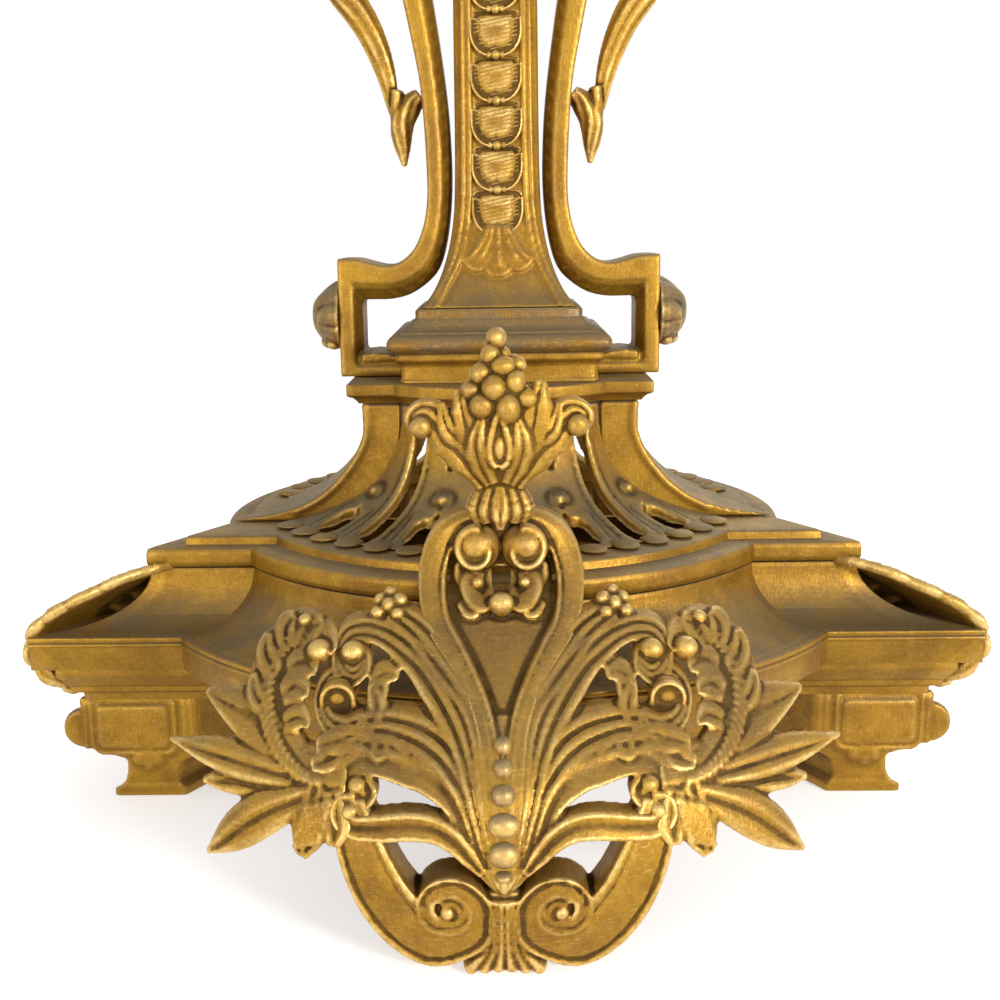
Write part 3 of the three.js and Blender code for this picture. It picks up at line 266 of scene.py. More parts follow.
def rounded_corner(before, corner, after, radius=1.6, steps=4):
    """Points round a corner between two neighbouring points of an outline."""
    before, corner, after = (np.asarray(p, float) for p in (before, corner, after))
    start = corner + (before - corner) / np.linalg.norm(before - corner) * radius
    end = corner + (after - corner) / np.linalg.norm(after - corner) * radius
    t = np.linspace(0, 1, steps + 1)[:, None]
    return (1 - t) ** 2 * start + 2 * t * (1 - t) * corner + t ** 2 * end


def plan_ring(plan, z, square=False):
    """The winged plan's outline at height z, anticlockwise from the right wing's front corner."""
    radius, half_x, half_y = plan
    front = math.asin(half_y / radius)
    corner = np.array([half_x, -half_y])
    if square:
        back, start = np.array([half_x, half_y]), front
    else:
        along = np.array([-END_SLANT, 1.0]) / math.hypot(END_SLANT, 1)
        middle = -corner @ along
        back = corner + along * (middle - math.sqrt(radius ** 2 - corner @ corner + middle ** 2))
        start = math.atan2(back[1], back[0])
    arc = np.linspace(start, math.pi - start, 120)
    arc = np.column_stack([radius * np.cos(arc), radius * np.sin(arc)])
    near = np.linspace(math.pi + front, 2 * math.pi - front, 48)
    near = np.column_stack([radius * np.cos(near), radius * np.sin(near)])
    flip = np.array([-1, 1])
    lead = rounded_corner(near[-1], corner, back)
    end = rounded_corner(corner, back, arc[1]) if square else np.linspace(corner, back, 5)[1:-1]
    ring = np.vstack([lead, end, arc, end[::-1] * flip, lead[::-1] * flip, near])
    return np.column_stack([ring, np.full(len(ring), z)])


def sheet(x, z, back=0.0):
    """Points of the ornament's curved sheet at x and z, set back from it."""
    x, z = np.asarray(x, float), np.asarray(z, float)
    h = np.clip(z, SHEET_HEIGHTS[0], SHEET_HEIGHTS[-1])
    k = np.clip(np.searchsorted(SHEET_HEIGHTS, h, side="right") - 1, 0, len(SHEET_HEIGHTS) - 2)
    hs, ds = np.array(SHEET_HEIGHTS, float), np.array(SHEET_DISTANCES, float)
    slope = np.gradient(ds, hs)
    w = hs[k + 1] - hs[k]
    t = (h - hs[k]) / w
    d = ((2 * t ** 3 - 3 * t ** 2 + 1) * ds[k] + (t ** 3 - 2 * t ** 2 + t) * w * slope[k]
         + (3 * t ** 2 - 2 * t ** 3) * ds[k + 1] + (t ** 3 - t ** 2) * w * slope[k + 1])
    return np.stack([x, -d + x * x / SHEET_SWEEP + back, z], axis=-1)


# Cross-sections of the ornament's bands: across from -1 to 1, and how proud of the sheet, from 0 to 1.
ACROSS = np.linspace(-1, 1, 25)
SECTIONS = {
    "round": np.sqrt(np.clip(1 - np.abs(ACROSS) ** 2.6, 0, 1)),
    "hollow": np.interp(np.abs(ACROSS), [0, 0.3, 0.6, 0.78, 0.9, 1], [0.8, 0.84, 0.94, 1.0, 0.92, 0.4]),
    "ridged": 0.62 + 0.38 * np.cos(ACROSS * 3 * math.pi) ** 2 - 0.3 * (np.abs(ACROSS) > 0.99),
    "fluted": np.interp(np.abs(ACROSS), [0, 0.14, 0.33, 0.52, 0.68, 0.84, 1],
                        [0.98, 0.92, 0.66, 0.9, 1.0, 0.9, 0.3]),
    "flat": np.interp(np.abs(ACROSS), [0, 0.85, 1], [1.0, 0.96, 0.6]),
    "lip": np.interp(ACROSS, [-1, -0.96, -0.88, -0.8, -0.7, -0.58, 0.3, 0.54, 0.62, 0.7, 0.92, 1],
                     [0.6, 0.9, 1.0, 0.98, 0.82, 0.87, 0.93, 0.95, 0.88, 0.95, 0.94, 0.55]),
    "arris": np.interp(ACROSS, [-1, -0.9, -0.2, 0.3, 0.5, 0.62, 0.74, 0.86, 1],
                       [0.35, 0.66, 0.95, 0.97, 0.9, 0.74, 0.94, 1.0, 0.4]),
}


def band(path, widths, depth, section="round", front=0.0, steps=40):
    """A moulded band along a path in X and Z on the sheet: its front is carved, and its back plain."""
    line = spline(path, steps)
    along = np.gradient(line, axis=0)
    along /= np.linalg.norm(along, axis=1)[:, None]
    side = np.column_stack([-along[:, 1], along[:, 0]])
    t = np.linspace(0, 1, steps)
    half = np.interp(t, np.linspace(0, 1, len(widths)), widths) / 2
    relief = SECTIONS[section]
    rings = []
    for c, s, w in zip(line, side, half):
        u = np.r_[ACROSS, ACROSS[::-1]]
        back = np.r_[front + depth * BAND_RELIEF * (1 - relief), np.full(len(ACROSS), front + depth)]
        xz = c + s * (u * w)[:, None]
        rings.append(sheet(xz[:, 0], xz[:, 1], back))
    return loft(rings)


def spiral(centre, radius, turns, start, width, depth, front=0.0, end_radius=2.0, hand=1):
    """A rolled volute: a ridge that winds in to its eye."""
    steps = int(26 * turns)
    t = np.linspace(0, 1, steps)
    angle = start + hand * t * turns * 2 * math.pi
    r = radius + (end_radius - radius) * t
    path = np.column_stack([centre[0] + r * np.cos(angle), centre[1] + r * np.sin(angle)])
    return band(path, [width, width * 0.9, width * 0.75], depth, "round", front, steps)


# ------------------------------------------------------------------ pieces from shapes

def settings():
    """The sizes a user can change."""
    return bpy.context.scene.torchere_sizes


def colours():
    """The colours a user can change."""
    return bpy.context.scene.torchere_colours


def mesh_object(name, shape):
    """A mesh object from points in millimetres and faces, put at the origin."""
    points, faces = shape
    name = name.replace(" ", "_")
    mesh = bpy.data.meshes.new(name)
    mesh.from_pydata((np.asarray(points, float) * MM).tolist(), [], [list(f) for f in faces])
    mesh.validate()
    obj = bpy.data.objects.new(name, mesh)
    bpy.context.scene.collection.objects.link(obj)
    return obj


def flattened(obj):
    """Replaces an object's mesh by what its modifiers make of it."""
    graph = bpy.context.evaluated_depsgraph_get()
    mesh = bpy.data.meshes.new_from_object(obj.evaluated_get(graph))
    old = obj.data
    obj.modifiers.clear()
    obj.data = mesh
    bpy.data.meshes.remove(old)
    return obj


def cast_together(obj, voxel, smoothing=2):
    """Runs the shapes of an object together into one skin, with the edges softened."""
    remesh = obj.modifiers.new("skin", "REMESH")
    remesh.mode = "VOXEL"
    remesh.voxel_size = voxel
    if smoothing:
        soften = obj.modifiers.new("soften", "SMOOTH")
        soften.factor = 0.5
        soften.iterations = smoothing
    return flattened(obj)


def minus(obj, cutter):
    """Cuts one object out of another and removes the cutter."""
    cut = obj.modifiers.new("cut", "BOOLEAN")
    cut.operation = "DIFFERENCE"
    cut.solver = "EXACT"
    cut.use_self = True
    cut.object = cutter
    flattened(obj)
    bpy.data.objects.remove(cutter)
    return obj


def note_hollows(obj, rounds=(2, 14)):
    """Stores how far each vertex lies in a hollow (+) or on a ridge (-), at a small and a larger scale."""
    mesh = obj.data
    n = len(mesh.vertices)
    co = np.empty(n * 3)
    mesh.vertices.foreach_get("co", co)
    co = co.reshape(-1, 3) / MM
    normals = np.empty(n * 3)
    mesh.vertices.foreach_get("normal", normals)
    normals = normals.reshape(-1, 3)
    edges = np.empty(len(mesh.edges) * 2, dtype=np.int64)
    mesh.edges.foreach_get("vertices", edges)
    a, b = edges.reshape(-1, 2).T
    count = np.bincount(np.r_[a, b], minlength=n).clip(1)[:, None]
    length = float(np.linalg.norm(co[a] - co[b], axis=1).mean())

    def average(values):
        total = np.zeros_like(values)
        for k in range(values.shape[1]):
            total[:, k] = (np.bincount(a, values[b, k], n) + np.bincount(b, values[a, k], n))
        return total / count

    # coarser meshes take fewer rounds, and their depths are scaled back to the same distance
    for name, wanted in zip(("hollow_fine", "hollow_broad"), rounds):
        steps = int(np.clip(round(wanted * 1.3 / length ** 2), 1, wanted))
        scale = min(1.0, wanted * 1.3 / (steps * length ** 2))
        spread = co
        for _ in range(steps):
            spread = average(spread)
        depth = np.einsum("ij,ij->i", spread - co, normals)[:, None] * scale
        depth = average(depth)[:, 0] if steps > 1 else depth[:, 0]
        layer = mesh.attributes.new(name, "FLOAT", "POINT")
        layer.data.foreach_set("value", depth.astype(np.float32))


def finished(obj, material, nodes):
    """Gives a piece its shading and finish, and puts it in the place of the frame's nodes."""
    note_hollows(obj)
    mesh = obj.data
    mesh.polygons.foreach_set("use_smooth", [True] * len(mesh.polygons))
    mesh.materials.clear()
    mesh.materials.append(bpy.data.materials[material])
    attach(obj, "root")
    if nodes:
        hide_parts(*nodes)
    return obj


def keep_creases(obj, degrees=38):
    """Splits the shading at edges sharper than the angle."""
    limit = math.radians(degrees)
    mesh = obj.data
    sharp = mesh.attributes.new("sharp_edge", "BOOLEAN", "EDGE")
    faces_of = {}
    for polygon in mesh.polygons:
        for key in polygon.edge_keys:
            faces_of.setdefault(key, []).append(polygon.normal)
    flags = [False] * len(mesh.edges)
    for edge in mesh.edges:
        pair = faces_of.get(tuple(sorted(edge.vertices)), [])
        if len(pair) == 2 and pair[0].angle(pair[1], 0) > limit:
            flags[edge.index] = True
    sharp.data.foreach_set("value", flags)
    return obj


def cast_piece(name, shapes, nodes, voxel=None, smoothing=2,
               material="Gilt ornament"):
    """A casting whose shapes run together into one skin."""
    obj = mesh_object(name, joined(shapes))
    cast_together(obj, voxel or settings().ornament_voxel, smoothing)
    return finished(obj, material, nodes)


def moulded_piece(name, shapes, nodes, material="Gilt body", crease=38):
    """A turned or moulded casting that keeps its own mesh."""
    obj = mesh_object(name, joined(shapes))
    keep_creases(obj, crease)
    return finished(obj, material, nodes)


def copies_of_pairs(base):
    """For a piece on the front left: each node, with the copy that puts the shape there."""
    return [(f"{base}_front_left", FRONT), (f"{base}_front_right", MIRROR_X),
            (f"{base}_back_right", HALF_TURN), (f"{base}_back_left", ((1, -1, 1), True))]


# ------------------------------------------------------------------ plinth, step and cap

def moulding(stations, radius=None, steps=2, square=False):
    """A closed moulding round the winged plan through stations of radius, half X, half Y and height."""
    corners = filleted(stations, radius or settings().edge_radius / MM, steps)
    return loft([plan_ring(row[:3], row[3], square) for row in corners], endless=True)


def station(plan, outset, z):
    return [*(np.asarray(plan) + outset), z]


def plinth_shape():
    inner, top = STEP - 2, SLOPE_TOP
    start = FASCIA - 8
    profile = [
        station(FASCIA, -1, FASCIA_BOTTOM), station(FASCIA, -1, FASCIA_TOP - 6.4),
        station(FASCIA, 0, FASCIA_TOP - 6.1), station(FASCIA, 0.3, FASCIA_TOP - 4.8),
        station(FASCIA, -0.2, FASCIA_TOP - 3.9),
        station(FASCIA, -1.3, FASCIA_TOP - 3.4), station(FASCIA, -0.2, FASCIA_TOP - 2.9),
        station(FASCIA, 0, FASCIA_TOP - 0.4), station(FASCIA, -2, FASCIA_TOP + 0.1),
        station(FASCIA, -7, FASCIA_TOP - 0.4),
    ]
    for k in range(15):
        angle = math.pi / 2 * k / 14
        plan = start + (inner - start) * math.sin(angle)
        profile.append([*plan, FASCIA_TOP + (top - FASCIA_TOP) * (1 - math.cos(angle))])
    profile += [station(STEP, -11, top), station(STEP, -11, top - 12),
                [*((FASCIA - 7) * 0.6 + (STEP - 11) * 0.4), FASCIA_TOP - 2],
                station(FASCIA, -15, FASCIA_TOP - 7), station(FASCIA, -15, FASCIA_BOTTOM)]
    return moulding(profile, 0.5, 1)


def neck_shape():
    low, high = NECK_BOTTOM, NECK_TOP
    return moulding([
        station(FASCIA, -25, low), station(FASCIA, -25, low + 5), station(FASCIA, -23.5, low + 6.5),
        station(FASCIA, -20.5, low + 7), station(FASCIA, -19, low + 8.2), station(FASCIA, -19, low + 11.6),
        station(FASCIA, -17.5, low + 12.6), station(FASCIA, -16, low + 15), station(FASCIA, -13, low + 19.5),
        station(FASCIA, -12, low + 21.4), station(FASCIA, -12, high), station(FASCIA, -51, high),
        station(FASCIA, -51, low)], 0.7, 2)


def step_shape():
    hole = np.array([148.0, 158.0, 52.0])
    return moulding([
        station(STEP, -4, STEP_BOTTOM), station(STEP, -1, STEP_BOTTOM + 1), station(STEP, 0, STEP_BOTTOM + 4),
        station(STEP, 0, STEP_TOP - 3.5), station(STEP, -1, STEP_TOP - 0.8), station(STEP, -4, STEP_TOP),
        station(RISER, 0.4, STEP_TOP - 0.2), station(RISER, -0.2, RISER_TOP - 1),
        station(RISER, -1.2, RISER_TOP),
        [*hole, RISER_TOP], [*hole, STEP_TOP - 7], station(STEP, -11, STEP_TOP - 7),
        station(STEP, -11, STEP_BOTTOM)], 0.8, 2)


def cap_shape():
    rows = [(-7, 0), (-6.5, 1.2), (-4.5, 3.4), (-3.8, 4), (-1, 5.2), (0, 6.2), (0, 12.7), (-0.6, 13.6)]
    stations = [station(CAP, outset, CAP_BOTTOM + rise) for outset, rise in rows]
    stations += [station(CAP, -40, CAP_TOP), station(CAP, -40, CAP_TOP - 6), station(CAP, -16, CAP_TOP - 6),
                 station(CAP, -16, CAP_BOTTOM)]
    return moulding(stations, 0.6, 2, square=True)


# ------------------------------------------------------------------ pierced bell

BELL = [(169, 177.2), (148, 180.5), (120, 191.5), (102, 207), (92, 230), (89, 256.5)]
# Openings of a panel: direction from the front in degrees, half angle there, and the radii between which
# they run; spur tells that the upper end runs to a point between two shoulders.
OPENINGS = [
    (0, 5.0, 78, 156, False), (20, 3.0, 78, 98, False), (20, 5.2, 120, 156, True),
    (35.5, 3.2, 78, 158, False),
    (50.5, 2.6, 78, 97, False), (50.5, 4.2, 122, 156, True)]
SIDE_OPENINGS = [(66, 3.2, 78, 158, False), (80, 2.6, 78, 97, False), (80, 4.2, 122, 154, True)]
BOSSES = [20, 50.5]
BOSS_RADIUS = 108.5


def bell_height(r):
    """The outer height of the bell at a plan radius."""
    profile = spline(BELL, 80)[::-1]
    return np.interp(r, profile[:, 0], profile[:, 1])


def on_bell(degrees, r, lift=0.0):
    a = math.radians(degrees - 90)
    return np.array([r * math.cos(a), r * math.sin(a), float(bell_height(r)) + lift])


def opening_outline(at, half, start, end, spur):
    """The outline of one opening, as directions and radii."""
    if spur:
        rows = [(-0.12, start - 7), (-0.2, start + 1), (-0.75, start + 2.5), (-1, start + 7), (-1, end - 14),
                (-0.62, end - 4), (0, end), (0.62, end - 4), (1, end - 14), (1, start + 7),
                (0.75, start + 2.5),
                (0.2, start + 1), (0.12, start - 7)]
        rows = [(0, start - 9)] + rows
    else:
        rows = [(-1, start), (-1, end - 15), (-0.6, end - 5), (0, end), (0.6, end - 5), (1, end - 15),
                (1, start)]
    return [(at + half * u, r) for u, r in rows]


def rod(path, radius, sides=8):
    """A round rod along a path in space."""
    p = np.asarray(path, float)
    along = np.gradient(p, axis=0)
    along /= np.linalg.norm(along, axis=1).clip(1e-9)[:, None]
    up = np.tile([0.0, 0.0, 1.0], (len(p), 1))
    up[np.abs(along[:, 2]) > 0.95] = [0, 1, 0]
    side = np.cross(along, up)
    side /= np.linalg.norm(side, axis=1).clip(1e-9)[:, None]
    up = np.cross(side, along)
    a = np.arange(sides) * 2 * math.pi / sides
    r = np.broadcast_to(np.asarray(radius, float), (len(p),))
    rings = [c + rr * (np.outer(np.cos(a), s) + np.outer(np.sin(a), u)) for c, s, u,
             rr in zip(p, side, up, r)]
    return loft(rings)


def facing(shape, centre, direction):
    """A shape made along +Z, turned to face a direction and moved to a place."""
    points, faces = shape
    ahead = np.asarray(direction, float)
    ahead = ahead / np.linalg.norm(ahead)
    side = np.cross([0.0, 0.0, 1.0] if abs(ahead[2]) < 0.9 else [0.0, 1.0, 0.0], ahead)
    side /= np.linalg.norm(side)
    return points @ np.array([side, np.cross(ahead, side), ahead]) + np.asarray(centre, float), faces


def outward(shape):
    """A closed shape with its faces turned outwards."""
    points, faces = np.asarray(shape[0], float), shape[1]
    total = 0.0
    for count in {len(f) for f in faces}:
        corners = points[np.array([f for f in faces if len(f) == count])]
        for k in range(1, count - 1):
            total += np.einsum("ij,ij->", corners[:, 0], np.cross(corners[:, k], corners[:, k + 1]))
    return points, (faces if total > 0 else [list(f)[::-1] for f in faces])


def stacked(rows, segments=48):
    """A solid about Z through rows of radius and height."""
    a = np.arange(segments) * 2 * math.pi / segments
    return loft([np.column_stack([r * np.cos(a), r * np.sin(a), np.full(segments, float(z))]) for r,
                 z in rows])


def dome(radius, height, segments=24):
    """A low dome that rises along +Z from z = -height."""
    rows = [(radius * math.cos(a), height * math.sin(a)) for a in np.linspace(0, 1.5, 9)]
    return stacked([(radius * 0.9, -height)] + rows, segments)


def panel_object(name, edge, openings, bosses):
    """The pierced panel in front of the given distance from the axis, before its skin is cast."""
    profile = spline(BELL, 46)
    along = np.gradient(profile, axis=0)
    along /= np.linalg.norm(along, axis=1)[:, None]
    inner = profile - np.column_stack([along[:, 1], -along[:, 0]]) * 7
    inner[:, 1] = np.clip(inner[:, 1], 177.2, 256.5)
    section = np.vstack([profile, inner[::-1]])
    rings = []
    for angle in np.linspace(math.pi + 0.01, 2 * math.pi - 0.01, 130):
        rings.append(np.column_stack([section[:, 0] * math.cos(angle), section[:, 0] * math.sin(angle),
                                      section[:, 1]]))
    obj = mesh_object(name, loft(rings))
    cutters, ridges = [], []
    for at, slot_half, start, end, spur in openings:
        for sign in ((1, -1) if at else (1,)):
            outline = opening_outline(sign * at, slot_half, start, end, spur)
            pts = [(d0 + (d1 - d0) * t, r0 + (r1 - r0) * t)
                   for (d0, r0), (d1, r1) in zip(outline, outline[1:] + outline[:1])
                   for t in np.linspace(0, 1, 7)[:-1]]
            rings = np.array([[(r * math.cos(math.radians(d - 90)), r * math.sin(math.radians(d - 90)), z)
                               for d, r in pts] for z in (170, 252)])
            area = np.sum(rings[0][:, 0] * np.roll(rings[0][:, 1], -1) - rings[0][:,
                                                                                  1] * np.roll(rings[0][:, 0],
                                                                                               -1))
            cutters.append(loft(rings if area > 0 else rings[:, ::-1]))
            low, high = max(start, 92), end - 8
            if high - low > 20:
                for u in (-1, 1):
                    path = [on_bell(sign * at + (slot_half + 1.0) * u, r, 0.0)
                            for r in np.linspace(low, high, 22)]
                    ridges.append(rod(path, 1.0))
    minus(obj, mesh_object(name + " sides", box_shape((-200, -edge, 100), (200, 200, 320))))
    minus(obj, mesh_object(name + " openings", joined(cutters)))
    for sign in (-1, 1):
        for at in bosses:
            centre, above = on_bell(sign * at, BOSS_RADIUS), on_bell(sign * at, BOSS_RADIUS - 2)
            lean = above - centre
            outward = np.cross(np.cross(lean, [centre[0], centre[1], 0]), lean)
            outward = outward if outward[2] > 0 else -outward
            ridges.append(facing(dome(7.0, 1.1), centre, outward))
            nail = centre + outward / np.linalg.norm(outward) * 0.9
            ridges.append(ball(nail, (3.0, 3.0, 3.0)))
    return with_parts(obj, mesh_object(name + " ridges", joined(ridges)))


def with_parts(obj, extra):
    """Adds another object's mesh to an object's, and removes the other."""
    a, b = obj.data, extra.data
    points = np.array([v.co for v in a.vertices] + [v.co for v in b.vertices]) / MM
    base = len(a.vertices)
    faces = [list(p.vertices) for p in a.polygons] + [[k + base for k in p.vertices] for p in b.polygons]
    both = mesh_object(obj.name + " whole", (points, faces))
    name = obj.name
    for old in (obj, extra):
        bpy.data.objects.remove(old)
    both.name = name
    return both


def box_shape(low, high):
    low, high = np.array(low, float), np.array(high, float)
    ring = np.array([(low[0], low[1]), (high[0], low[1]), (high[0], high[1]), (low[0], high[1])])
    return loft([np.column_stack([ring, np.full(4, z)]) for z in (low[2], high[2])])


# The rib's outer face from the cap to the riser, as X and height.
RIB_FACE = [(92.5, 256.5), (91.2, 247), (92, 236), (98, 222), (109, 207.5), (120.4, 197), (131.7, 190),
            (146.3, 184.2), (163.1, 180.8), (182, 178.8), (203.4, 177.7)]


def rib_shapes():
    """The right rib: a solid arm with a raised border along its front flank."""
    face = spline(RIB_FACE, 50)
    outline = np.vstack([face, [(204, 177.2), (66, 177.2), (66, 256.5)]])
    middle = np.array([110.0, 200.0])
    rings = []
    for y, inset in ((-60, 0.9), (-59.2, 0.1), (-45, 0), (-25, 0), (-5, 0), (9.2, 0.1), (10, 0.9)):
        pull = outline + (middle - outline) / np.linalg.norm(outline - middle, axis=1)[:, None] * inset
        limit = RISER[1] - 1.5 - (y + RISER[2] - 1.5) * END_SLANT
        rings.append(np.column_stack([np.minimum(pull[:, 0], limit), np.full(len(pull), y), pull[:, 1]]))
    shapes = [loft(rings, "flat")]
    along = np.gradient(face, axis=0)
    along /= np.linalg.norm(along, axis=1)[:, None]
    inward = np.column_stack([along[:, 1], -along[:, 0]])
    for inset, thick in ((2.6, 1.2),):
        line = face + inward * inset
        line = line[(line[:, 1] > 181 + inset) & (line[:, 0] < 176)]
        shapes.append(rod([(x, -60.2, z) for x, z in line], thick))
    return shapes


# ------------------------------------------------------------------ socle and shaft

def square_ring(half, corner, z, bow=0.0, steps=5):
    """A square outline with rounded corners at height z, its front and back bowed out a little."""
    quarter = np.linspace(0, math.pi / 2, steps)
    arc = half - corner + corner * np.column_stack([np.cos(quarter), np.sin(quarter)])
    edge = np.linspace(half - corner, -(half - corner), 14)[1:-1]
    bowed = half + bow * (1 - (edge / half) ** 2)
    top = np.vstack([arc, np.column_stack([edge, bowed]), arc[::-1] * [-1, 1]])
    sides = np.column_stack([np.full(12, half), -edge])
    ring = np.vstack([top, -sides, -top, sides])
    return np.column_stack([ring, np.full(len(ring), z)])


def square_moulding(rows, corner, bore, bow=0.0):
    """A square moulding through rows of half width and height, with a round bore."""
    rows = filleted(rows, 0.5, 2, closed=False)
    rings = [square_ring(half, corner, z, bow * half / 70) for half, z in rows]
    for z in (rows[-1][1], rows[0][1]):
        ring = square_ring(60, corner, z)
        ring[:, :2] *= bore / np.linalg.norm(ring[:, :2], axis=1)[:, None]
        rings.append(ring)
    return loft(rings, endless=True)


def socle_drum_rows():
    low, high = cad("socle_drum")[0][2], cad("socle_drum")[1][2]
    return [(65.4, low), (65.4, low + 1.6), (64.9, low + 2.4), (64.8, high - 8.6), (65.6, high - 6.6),
            (67.6, high - 5.2), (68.4, high - 3.8), (68.4, high - 1.2), (67.8, high)]


def socle_moulding_rows():
    low, high = cad("socle_moulding")[0][2], cad("socle_moulding")[1][2]
    rows = [(67.5 + 6 * math.cos(a), low + 6 + 6 * math.sin(a))
            for a in np.linspace(-math.pi / 2, math.pi / 2, 13)]
    rows += [(66, low + 12.3), (65.6, low + 13.4), (64.2, low + 14), (61.2, low + 14.8), (58.8, low + 16.6),
             (57.4, low + 18.8), (56.4, low + 20.8), (55.6, low + 21.6), (55.2, low + 22.6),
             (55.2, high - 0.8)]
    return rows + [(54.4, high)]


STATIONS = [(318, 52), (325, 45.8), (335, 40.2), (347, 35.8), (362, 32), (386, 29), (430, 28), (500, 27.6),
            (565, 27), (584.7, 30)]


def shaft_half(z):
    """The lower shaft's half width at a height."""
    rows = spline(STATIONS, 90)
    return np.interp(z, rows[:, 0], rows[:, 1])


def lower_shaft_shapes():
    """The square shaft: a sunk panel between two raised fillets in front and behind, and coved corners."""
    rings = []
    for z in np.linspace(318, 584.7, 110):
        half = float(shaft_half(z))
        flare = np.clip((half - 28) / 13, 0, 1)
        inner, outer = half * (0.64 + 0.2 * flare), half * (0.8 + 0.13 * flare)
        room = half - outer
        front = [(0, 2.6), (inner - 3.4, 2.6), (inner - 2.0, 2.2), (inner - 1.1, 0.7), (inner, 0.0),
                 (inner + 1.0, 0.7),
                 ((inner + outer) / 2, 2.0), (outer - 1.0, 0.7), (outer, 0.0), (outer + 1.0, 0.8),
                 (outer + room * 0.45, room * 0.5), (half - room * 0.28, room * 0.62), (half, room * 0.9)]
        side = [(half - 0.4, half * 0.55), (half - 1.0, half * 0.2)]
        quarter = np.array([(x, half - d) for x, d in front] + side)
        back = quarter[1:, :] * [-1, 1]
        top = np.vstack([quarter[::-1], back])
        ring = np.vstack([top, -top])
        rings.append(np.column_stack([ring, np.full(len(ring), z)]))
    return [loft(rings)]


def shaft_panel_shapes():
    """The palmette at the foot of each shaft panel: a broad leaf that hangs down in three lobes."""
    half = [(0, 337.5), (5.5, 338.5), (9.5, 342.5), (13.5, 341), (20, 343.5), (24.5, 350), (24, 359),
            (20, 367), (15, 375), (0, 378)]
    right = spline(half, 30)
    outline = np.vstack([right, right[-2:0:-1] * [-1, 1]])
    shapes = []
    for face in (-1, 1):
        rings = []
        for scale, lift in ((1.0, -0.8), (1.0, 0.9), (0.97, 1.7), (0.9, 2.1), (0.82, 1.9), (0.6, 2.9),
                            (0.3, 3.5), (0.05, 3.6)):
            x, z = outline[:, 0] * scale, 358 + (outline[:, 1] - 358) * scale
            rings.append(np.column_stack([x, face * (shaft_half(z) - 2.6 + lift), z]))
        shapes.append(loft(rings))
        for x0, x1 in ((0, 0), (-6, -11.5), (6, 11.5), (-10, -18.5), (10, 18.5)):
            path = [(x, face * (float(shaft_half(z)) + 1.0), z)
                    for x, z in spline([(x0 * 0.6, 372), (x0, 362), (x1, 351 if x0 else 345)], 12)]
            shapes.append(rod(path, np.linspace(1.0, 0.7, 12), 6))
    return shapes


def gadrooned(profile, lobes, depth, z_from, z_to, segments=None):
    """A turned shape whose surface swells in lobes between two heights."""
    segments = segments or lobes * 10
    p = np.asarray(profile, float)
    rings = []
    for k in range(segments):
        a = k * 2 * math.pi / segments
        blend = np.clip(np.minimum((p[:, 1] - z_from) / 3, (z_to - p[:, 1]) / 3), 0, 1)
        wave = 1 - abs(math.cos(a * lobes / 2)) ** 3
        r = p[:, 0] - np.where(p[:, 0] > 15, depth * blend * (1 - wave), 0)
        rings.append(np.column_stack([r * math.cos(a), r * math.sin(a), p[:, 1]]))
    return loft(rings, endless=True)


def knop_profile():
    outer = spline([(34.5, 585.2), (35.4, 590), (37, 593), (44, 597), (52, 602), (56.4, 608), (57, 613),
                    (56, 619),
                    (50.5, 626.5), (42, 633.5), (34.5, 639), (31.6, 643), (30.4, 648), (32, 653), (35.6, 656),
                    (36, 659.4)], 46)
    return [(9, 585.2)] + [tuple(row) for row in outer] + [(9, 659.4)]


def upper_shaft_profile():
    z0, z1 = 660.0, 990.0
    rows = [(17, z0), (33.5, z0), (34, z0 + 1.5), (34, z0 + 7), (31.5, z0 + 8.6), (28.5, z0 + 10.4),
            (27.2, z0 + 13)]
    rows += [(r, z) for r,
             z in spline([(26.4, z0 + 17), (26.6, z0 + 60), (27, z0 + 200), (25.5, z0 + 250),
                          (23.2, z1 - 26)], 50)]
    rows += [(24.4, z1 - 23), (27.4, z1 - 20), (28, z1 - 17), (28, z1 - 13), (26, z1 - 10), (24, z1 - 8),
             (24, z1 - 0.4), (17, z1 - 0.4)]
    return rows


def capital_profile():
    z = 990.0
    outer = spline([(26, z), (26.6, z + 10), (28, z + 20), (31, z + 33), (36.5, z + 44), (45, z + 53),
                    (56, z + 59.5)], 30)
    return ([(9, z)] + [tuple(row) for row in outer]
            + [(62.5, z + 61.2), (64, z + 63), (64, z + 70.4), (62.8, z + 71.7), (30, z + 71.7), (30, z + 42),
               (9, z + 42)])


def top_profile():
    top = HEIGHT
    return [(24, 1062), (64, 1062), (66, 1066), (67.4, 1078), (68, top - 9), (124, top - 9), (126, top - 14),
            (127.5, top - 20.5), (131, top - 22), (136, top - 20.6), (141, top - 17.2), (146.5, top - 13.6),
            (149, top - 11.6), (150, top - 9.4), (150, top - 2.2), (149.4, top - 0.6), (147.8, top),
            (30.3, top), (30.3, top - 6.3), (24, top - 6.3)]


# ------------------------------------------------------------------ brackets, shells and hanging leaves

OUTER_S = [(109.4, 351), (96.8, 350.8), (86.1, 347.9), (75.3, 345.9), (64.3, 349.6), (55.4, 359.1),
           (49.7, 373.8),
           (47.2, 390), (47.1, 409), (48.2, 437), (50.6, 465.8), (56.1, 496), (63, 530), (69.4, 562)]
INNER_S = [(93.8, 323), (84, 322.9), (73.9, 323), (60.6, 326.1), (48, 334.4), (40, 345), (34.4, 366),
           (31.4, 394),
           (31.4, 425), (33.9, 461.7), (41, 515.3), (47, 548), (54, 580), (59.6, 600)]
VOLUTE = np.array([104.0, 596.0])


